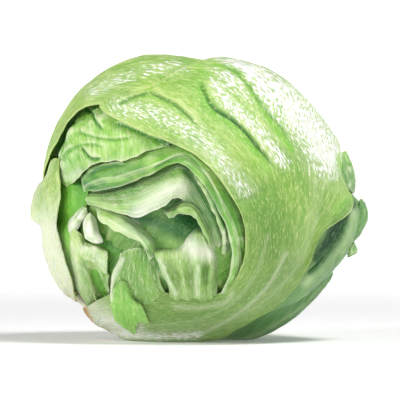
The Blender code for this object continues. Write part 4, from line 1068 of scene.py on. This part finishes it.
def ramp(tree, source, low, high):
    """The source's span from low to high, as 0 to 1."""
    node = add_node(tree, "ShaderNodeMapRange", interpolation_type="SMOOTHSTEP")
    tree.links.new(source, node.inputs["Value"])
    node.inputs["From Min"].default_value = low
    node.inputs["From Max"].default_value = high
    return node.outputs["Result"]


def scaled(tree, source, scale):
    node = add_node(tree, "ShaderNodeVectorMath", operation="MULTIPLY")
    tree.links.new(source, node.inputs[0])
    node.inputs[1].default_value = scale
    return node.outputs[0]


def pattern(tree, source, scale, detail=2.0):
    node = add_node(tree, "ShaderNodeTexNoise")
    tree.links.new(scaled(tree, source, scale), node.inputs["Vector"])
    node.inputs["Scale"].default_value = 1.0
    node.inputs["Detail"].default_value = detail
    return node.outputs["Fac"]


def add_bump(tree, shader, height, strength, distance):
    bump = add_node(tree, "ShaderNodeBump")
    bump.inputs["Strength"].default_value = strength
    bump.inputs["Distance"].default_value = distance
    tree.links.new(height, bump.inputs["Height"])
    tree.links.new(bump.outputs["Normal"], shader.inputs["Normal"])


def new_material(name):
    made = bpy.data.materials.new(name)
    made.use_nodes = True
    return made, made.node_tree, made.node_tree.nodes["Principled BSDF"]


def set_inputs(shader, **settings):
    """Sets inputs by their names, with underscores for spaces."""
    for key, value in settings.items():
        shader.inputs[key.replace("_", " ")].default_value = value


def tissue_colour(tree, place, spots, pale, mid, full, deep, rib, dusk, crease_shade, line, lines):
    """Leaf green: pale veins and ribs and rust at the cut foot, with painted highlight on ridges and ribs
    and painted shade in valleys, depths, creases and on the lower side.
    """
    clouds = pattern(tree, spots, (45, 45, 45), 3.0)
    streaks = pattern(tree, place, (0.035, 0.42, 0.1), 3.0)
    cells = add_node(tree, "ShaderNodeTexVoronoi", feature="DISTANCE_TO_EDGE")
    tree.links.new(scaled(tree, place, (0.28, 0.42, 0.1)), cells.inputs["Vector"])
    cells.inputs["Scale"].default_value = 1.0
    lace = ramp(tree, cells.outputs["Distance"], 0.07, 0.0)
    valley = mask(tree, "valley")
    rusty = ramp(tree, pattern(tree, spots, (110, 110, 110)), 0.42, 0.58)
    colour = blend(tree, ramp(tree, clouds, 0.35, 0.68), mid, full)
    # Painted shade and highlight enter through the valley, depth, lower-side, rib and crease masks
    for share, tint in (
        (times(tree, ramp(tree, streaks, 0.45, 0.75), lines), pale),
        (times(tree, ramp(tree, valley, 0.5, 1.0), 0.8), full),
        (times(tree, ramp(tree, valley, 0.5, 0.0), 0.6), pale),
        (times(tree, mask(tree, "vein"), 0.22), pale),
        (times(tree, lace, 0.16), pale),
        (mask(tree, "deep"), deep),
        (mask(tree, "edge"), pale),
        (times(tree, mask(tree, "dusk"), 0.7), dusk),
        (mask(tree, "rib"), rib),
        (times(tree, mask(tree, "crease_shade"), 0.9), crease_shade),
        (mask(tree, "line"), line),
        (times(tree, times(tree, mask(tree, "rust"), rusty), 0.85), linear(*RUST)),
    ):
        colour = blend(tree, share, colour, tint)
    return colour


def leaf_material(name, tints, painted_crinkle_light, lines):
    """Leaf tissue whose crinkles take painted glints as pale flecks and painted shade as darker pits, and
    painted white highlight where sheen lies.
    """
    made, tree, shader = new_material(name)
    place = mask(tree, "place", "Vector")
    spots = add_node(tree, "ShaderNodeTexCoord").outputs["Object"]
    threads = pattern(tree, place, (0.16, 1.1, 0.1), 2.0)
    grains = pattern(tree, spots, (700, 700, 700), 2.0)
    glints = pattern(tree, place, (0.3, 1.5, 0.1), 5.0)
    puckers = pattern(tree, spots, (210, 210, 210), 3.0)
    colour = tissue_colour(tree, place, spots, *tints, lines)
    flecks = times(tree, ramp(tree, threads, 0.42, 0.6), ramp(tree, glints, 0.46, 0.6))
    pits = times(tree, ramp(tree, threads, 0.56, 0.4), ramp(tree, glints, 0.52, 0.4))
    glitter = plus(tree, times(tree, mask(tree, "sheen"), 0.27), glints)
    shine = times(tree, ramp(tree, glitter, 0.64, 0.78), ramp(tree, mask(tree, "sheen"), 0.05, 0.4))
    pale, _, full = tints[:3]
    # Painted light: shaded pits, pale glint flecks, and the white of the sheen and of its brightest glints
    for share, tint in (
        (times(tree, pits, 0.7 * painted_crinkle_light), full),
        (times(tree, flecks, 1.1 * painted_crinkle_light), pale),
        (times(tree, mask(tree, "sheen"), 0.32), linear(*SHEEN_TINT)),
        (shine, linear(*SHINE_TINT)),
    ):
        colour = blend(tree, share, colour, tint)
    tree.links.new(colour, shader.inputs["Base Color"])
    gloss = add_node(tree, "ShaderNodeMapRange")
    tree.links.new(threads, gloss.inputs["Value"])
    set_inputs(gloss, From_Min=0.3, From_Max=0.7, To_Min=0.28, To_Max=0.56)
    tree.links.new(gloss.outputs["Result"], shader.inputs["Roughness"])
    set_inputs(shader, Specular_IOR_Level=0.5, Subsurface_Weight=0.22)
    set_inputs(shader, Subsurface_Radius=(0.45, 1.0, 0.2), Subsurface_Scale=0.0022)
    height = plus(tree, times(tree, threads, 1.4 * lines), times(tree, grains, 0.5))
    height = plus(tree, height, times(tree, puckers, 0.9))
    add_bump(tree, shader, height, 0.9, 0.0012)
    return made


def make_looks():
    """A material for each look, by name."""
    looks = {}
    for look, tints in TINTS.items():
        greens = CREASE_TINTS.get(look, PLAIN_CREASE_TINTS)
        looks[look] = leaf_material(look, [linear(*tint) for tint in (*tints, *greens)], *SHEER[look])
    return looks


def dress(piece, node):
    """Puts the piece in the scene, where it stands for the node."""
    bpy.context.scene.collection.objects.link(piece)
    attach(piece, "root")
    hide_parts(node)


def make_leaf(leaf, looks):
    points, masks, place = leaf_surface(leaf)
    mesh = sheet_mesh(leaf.name, points)
    store_masks(mesh, masks, place)
    mesh.materials.append(looks[leaf.look])
    piece = bpy.data.objects.new(leaf.name, mesh)
    solid = piece.modifiers.new("Blade", "SOLIDIFY")
    solid.thickness = INNER_BLADE if leaf.inner else LEAF_BLADE
    solid.offset = -1
    dress(piece, leaf.node)


def make_core(looks):
    """The dense heart under the leaves, with the relief of the leaves that are packed in it."""
    mesh = bpy.data.meshes.new("heart_core")
    shape = bmesh.new()
    bmesh.ops.create_icosphere(shape, subdivisions=CORE_SUBDIVISIONS, radius=1)
    directions = unit(np.array([vert.co[:] for vert in shape.verts]))
    across = directions[..., 0] * MEAN_RADIUS / PIXEL
    down = -directions[..., 2] * MEAN_RADIUS / PIXEL
    front = np.clip(-directions[..., 1] * 4 - 0.6, 0, 1)
    depth = np.full(across.shape, CORE_DEPTH)
    for right, below, reach, extra in OPENING_HOLLOWS:
        away = np.hypot(across - right, down - below) / reach
        depth = depth + front * extra * MM * np.exp(-(away**2))
    radius = skin_radius(directions) - depth
    radius = np.minimum(radius, CORE_STEM_FACE / np.maximum(directions @ -AXIS, 1e-6))
    # Ribs run from the stem to the crown, fading out on the way
    run = MEAN_RADIUS / MM * np.arccos(np.clip(-directions @ AXIS, -1, 1))
    turn = np.arctan2(-directions[:, 1], directions @ AXIS_UP)
    ribs = np.cos(CORE_RIBS * turn + 1.4 * noise(directions * 2.0, 61)) ** 24 * smooth_step(120, 30, run)
    relief = 0.9 * (np.abs(layered(directions * 7.0, 4, 60)) - 0.35) + 0.8 * ribs
    points = directions * (radius + relief * MM)[:, None]
    points[:, 2] = np.maximum(points[:, 2] + CENTRE_HEIGHT, CORE_FLOOR)
    for vert, point in zip(shape.verts, points):
        vert.co = point
    shape.to_mesh(mesh)
    shape.free()
    mesh.shade_smooth()
    masks = dict.fromkeys(MASK_NAMES, 0 * depth)
    # Painted shade: darker green deeper in the head and under the shade marks, greener in hollows
    masks["deep"] = np.maximum(smooth_step(8.5, 14.0, depth / MM - relief), marks_of(points, SHADES))
    masks["valley"] = np.clip(0.5 - relief, 0, 1)
    masks["rib"] = 0.6 * ribs
    store_masks(mesh, masks, np.stack([run, 60 * turn, 0 * run], -1))
    mesh.materials.append(looks["core_leaf"])
    dress(bpy.data.objects.new("heart_core", mesh), "heart")


def stem_material():
    """Pale pith, with the rust that a cut stem takes on near its rim."""
    made, tree, shader = new_material("stem")
    spots = add_node(tree, "ShaderNodeTexCoord").outputs["Object"]
    clouds = pattern(tree, spots, (160, 160, 160), 4.0)
    stains = pattern(tree, spots, (70, 70, 70), 3.0)
    colour = blend(tree, ramp(tree, clouds, 0.35, 0.65), linear(*PITH_DARK), linear(*PITH_LIGHT))
    rust = times(tree, ramp(tree, stains, 0.46, 0.6), mask(tree, "rust"))
    colour = blend(tree, rust, colour, linear(*STEM_RUST))
    tree.links.new(colour, shader.inputs["Base Color"])
    set_inputs(shader, Roughness=0.55, Subsurface_Weight=0.2)
    set_inputs(shader, Subsurface_Radius=(1.0, 0.9, 0.5), Subsurface_Scale=0.002)
    add_bump(tree, shader, clouds, 0.5, 0.0004)
    return made


def stem_points():
    """Rings of points: up the wall, then in over the rough cut face."""
    share = np.linspace(0, 1, STEM_RINGS + 1)[:, None]
    turn = np.linspace(0, 2 * math.pi, STEM_SIDES, endpoint=False)[None, :]
    edge = STEM_WALL_RINGS / STEM_RINGS
    wall_end = STEM_REACH - 0.0012
    reach = np.where(share < edge, STEM_START + (wall_end - STEM_START) * share / edge, STEM_REACH)
    size = np.where(share < edge, 1.0, (1 - (share - edge) / (1 - edge)) ** 0.8)
    radius = STEM_RADIUS * size * (1 + 0.05 * np.sin(3 * turn + 0.5) + 0.03 * np.cos(5 * turn))
    around = AXIS_UP * np.cos(turn)[..., None] + AXIS_SIDE * 1.08 * np.sin(turn)[..., None]
    points = -AXIS * reach[..., None] + around * radius[..., None]
    rough = 0.35 * layered(points / MM / 3.0, 3, 70)
    on_face = smooth_step(edge, edge + 0.02, share + 0 * turn)
    points = points + AXIS * (on_face * (rough + 0.35) * MM)[..., None]
    points[..., 2] += CENTRE_HEIGHT
    return points


def make_stem():
    """The cut stem: a ribbed butt with a rough cut face."""
    points = stem_points()
    mesh = bpy.data.meshes.new("stem_cut")
    index = np.arange(points.shape[0] * points.shape[1]).reshape(points.shape[:2])
    after = np.roll(index, -1, axis=1)
    quads = np.stack([index[:-1], after[:-1], after[1:], index[1:]], -1).reshape(-1, 4)
    faces = quads.tolist() + [index[0, ::-1].tolist(), index[-1].tolist()]
    mesh.from_pydata(points.reshape(-1, 3).tolist(), [], faces)
    shape = bmesh.new()
    shape.from_mesh(mesh)
    bmesh.ops.remove_doubles(shape, verts=shape.verts[:], dist=1e-6)
    bmesh.ops.recalc_face_normals(shape, faces=shape.faces[:])
    shape.to_mesh(mesh)
    shape.free()
    mesh.shade_smooth()
    places = np.array([vert.co[:] for vert in mesh.vertices]) - [0, 0, CENTRE_HEIGHT]
    out = places @ -AXIS
    spread = np.linalg.norm(places + AXIS * out[:, None], axis=1)
    near_face = smooth_step(STEM_REACH - 0.004, STEM_REACH - 0.001, out)
    store_masks(mesh, {"rust": near_face * (0.3 + 0.7 * smooth_step(0.005, 0.011, spread))})
    mesh.materials.append(stem_material())
    dress(bpy.data.objects.new("stem_cut", mesh), "stem_butt")


def floor_mesh(sides):
    """A round floor, flat for some metres and curving up into a low wall far away."""
    profile = [(0.5, 0.0), (2.0, 0.0), (FLOOR_FLAT, 0.0)]
    for k in range(1, 11):
        angle = k * math.pi / 20
        profile.append((FLOOR_FLAT + math.sin(angle), 1 - math.cos(angle)))
    profile.append((FLOOR_FLAT + 1, FLOOR_WALL))
    turns = [2 * math.pi * k / sides for k in range(sides)]
    verts = [(0.0, 0.0, 0.0)]
    verts += [(out * math.cos(turn), out * math.sin(turn), up) for out, up in profile for turn in turns]
    faces = [(0, 1 + k, 1 + (k + 1) % sides) for k in range(sides)]
    for ring in range(len(profile) - 1):
        a, b = 1 + ring * sides, 1 + (ring + 1) * sides
        faces += [(a + k, b + k, b + (k + 1) % sides, a + (k + 1) % sides) for k in range(sides)]
    mesh = bpy.data.meshes.new("floor")
    mesh.from_pydata(verts, [], faces)
    mesh.shade_smooth()
    return mesh


def floor_material():
    """Plain pale floor that glows more away from the head, to be as white there as under the lamps."""
    made, tree, shader = new_material("floor")
    set_inputs(shader, Base_Color=(0.92, 0.92, 0.92, 1), Roughness=0.8, Emission_Color=(1, 1, 1, 1))
    away = add_node(tree, "ShaderNodeVectorMath", operation="LENGTH")
    tree.links.new(add_node(tree, "ShaderNodeTexCoord").outputs["Object"], away.inputs[0])
    glow = add_node(tree, "ShaderNodeMapRange", interpolation_type="SMOOTHSTEP")
    tree.links.new(away.outputs["Value"], glow.inputs["Value"])
    set_inputs(glow, From_Min=0.28, From_Max=1.2, To_Min=0.13, To_Max=0.72)
    tree.links.new(glow.outputs["Result"], shader.inputs["Emission Strength"])
    return made


def add_light(name, place, size, energy):
    """A square lamp that faces the head."""
    lamp = bpy.data.lights.new(name, "AREA")
    lamp.size = size
    lamp.energy = energy
    made = bpy.data.objects.new(name, lamp)
    made.location = place
    made.rotation_euler = (Vector(place) - Vector((0, 0, CENTRE_HEIGHT))).to_track_quat("Z", "Y").to_euler()
    bpy.context.scene.collection.objects.link(made)


def make_stage():
    """A plain pale floor and soft light."""
    mesh = floor_mesh(FLOOR_SIDES)
    mesh.materials.append(floor_material())
    floor = bpy.data.objects.new("floor", mesh)
    bpy.context.scene.collection.objects.link(floor)
    for light in LAMPS:
        add_light(*light)
    world = bpy.data.worlds.new("studio")
    bpy.context.scene.world = world
    world.use_nodes = True
    set_inputs(world.node_tree.nodes["Background"], Color=(1, 1, 1, 1), Strength=WORLD_LIGHT)
    bpy.context.scene.view_settings.view_transform = "Standard"


def make_camera():
    """The photograph's view: square on, and a little above the head's middle."""
    lens = bpy.data.cameras.new("camera")
    camera = bpy.data.objects.new("camera", lens)
    bpy.context.scene.collection.objects.link(camera)
    raised = math.radians(CAMERA_ELEVATION)
    # The frame's middle is a pixel right of the head's centre
    aim = Vector((PIXEL * (FRAME_PIXELS / 2 - PHOTO_CENTRE[0]), 0, CENTRE_HEIGHT))
    back = Vector((0, -math.cos(raised), math.sin(raised)))
    camera.location = aim + back * CAMERA_DISTANCE
    camera.rotation_euler = back.to_track_quat("Z", "Y").to_euler()
    lens.sensor_width = SENSOR
    lens.lens = SENSOR * CAMERA_DISTANCE / (FRAME_PIXELS * PIXEL)
    lens.clip_end = 20
    bpy.context.scene.camera = camera


make_camera()
make_stage()
looks = make_looks()
make_core(looks)
make_stem()
for leaf in LEAVES:
    make_leaf(leaf, looks)
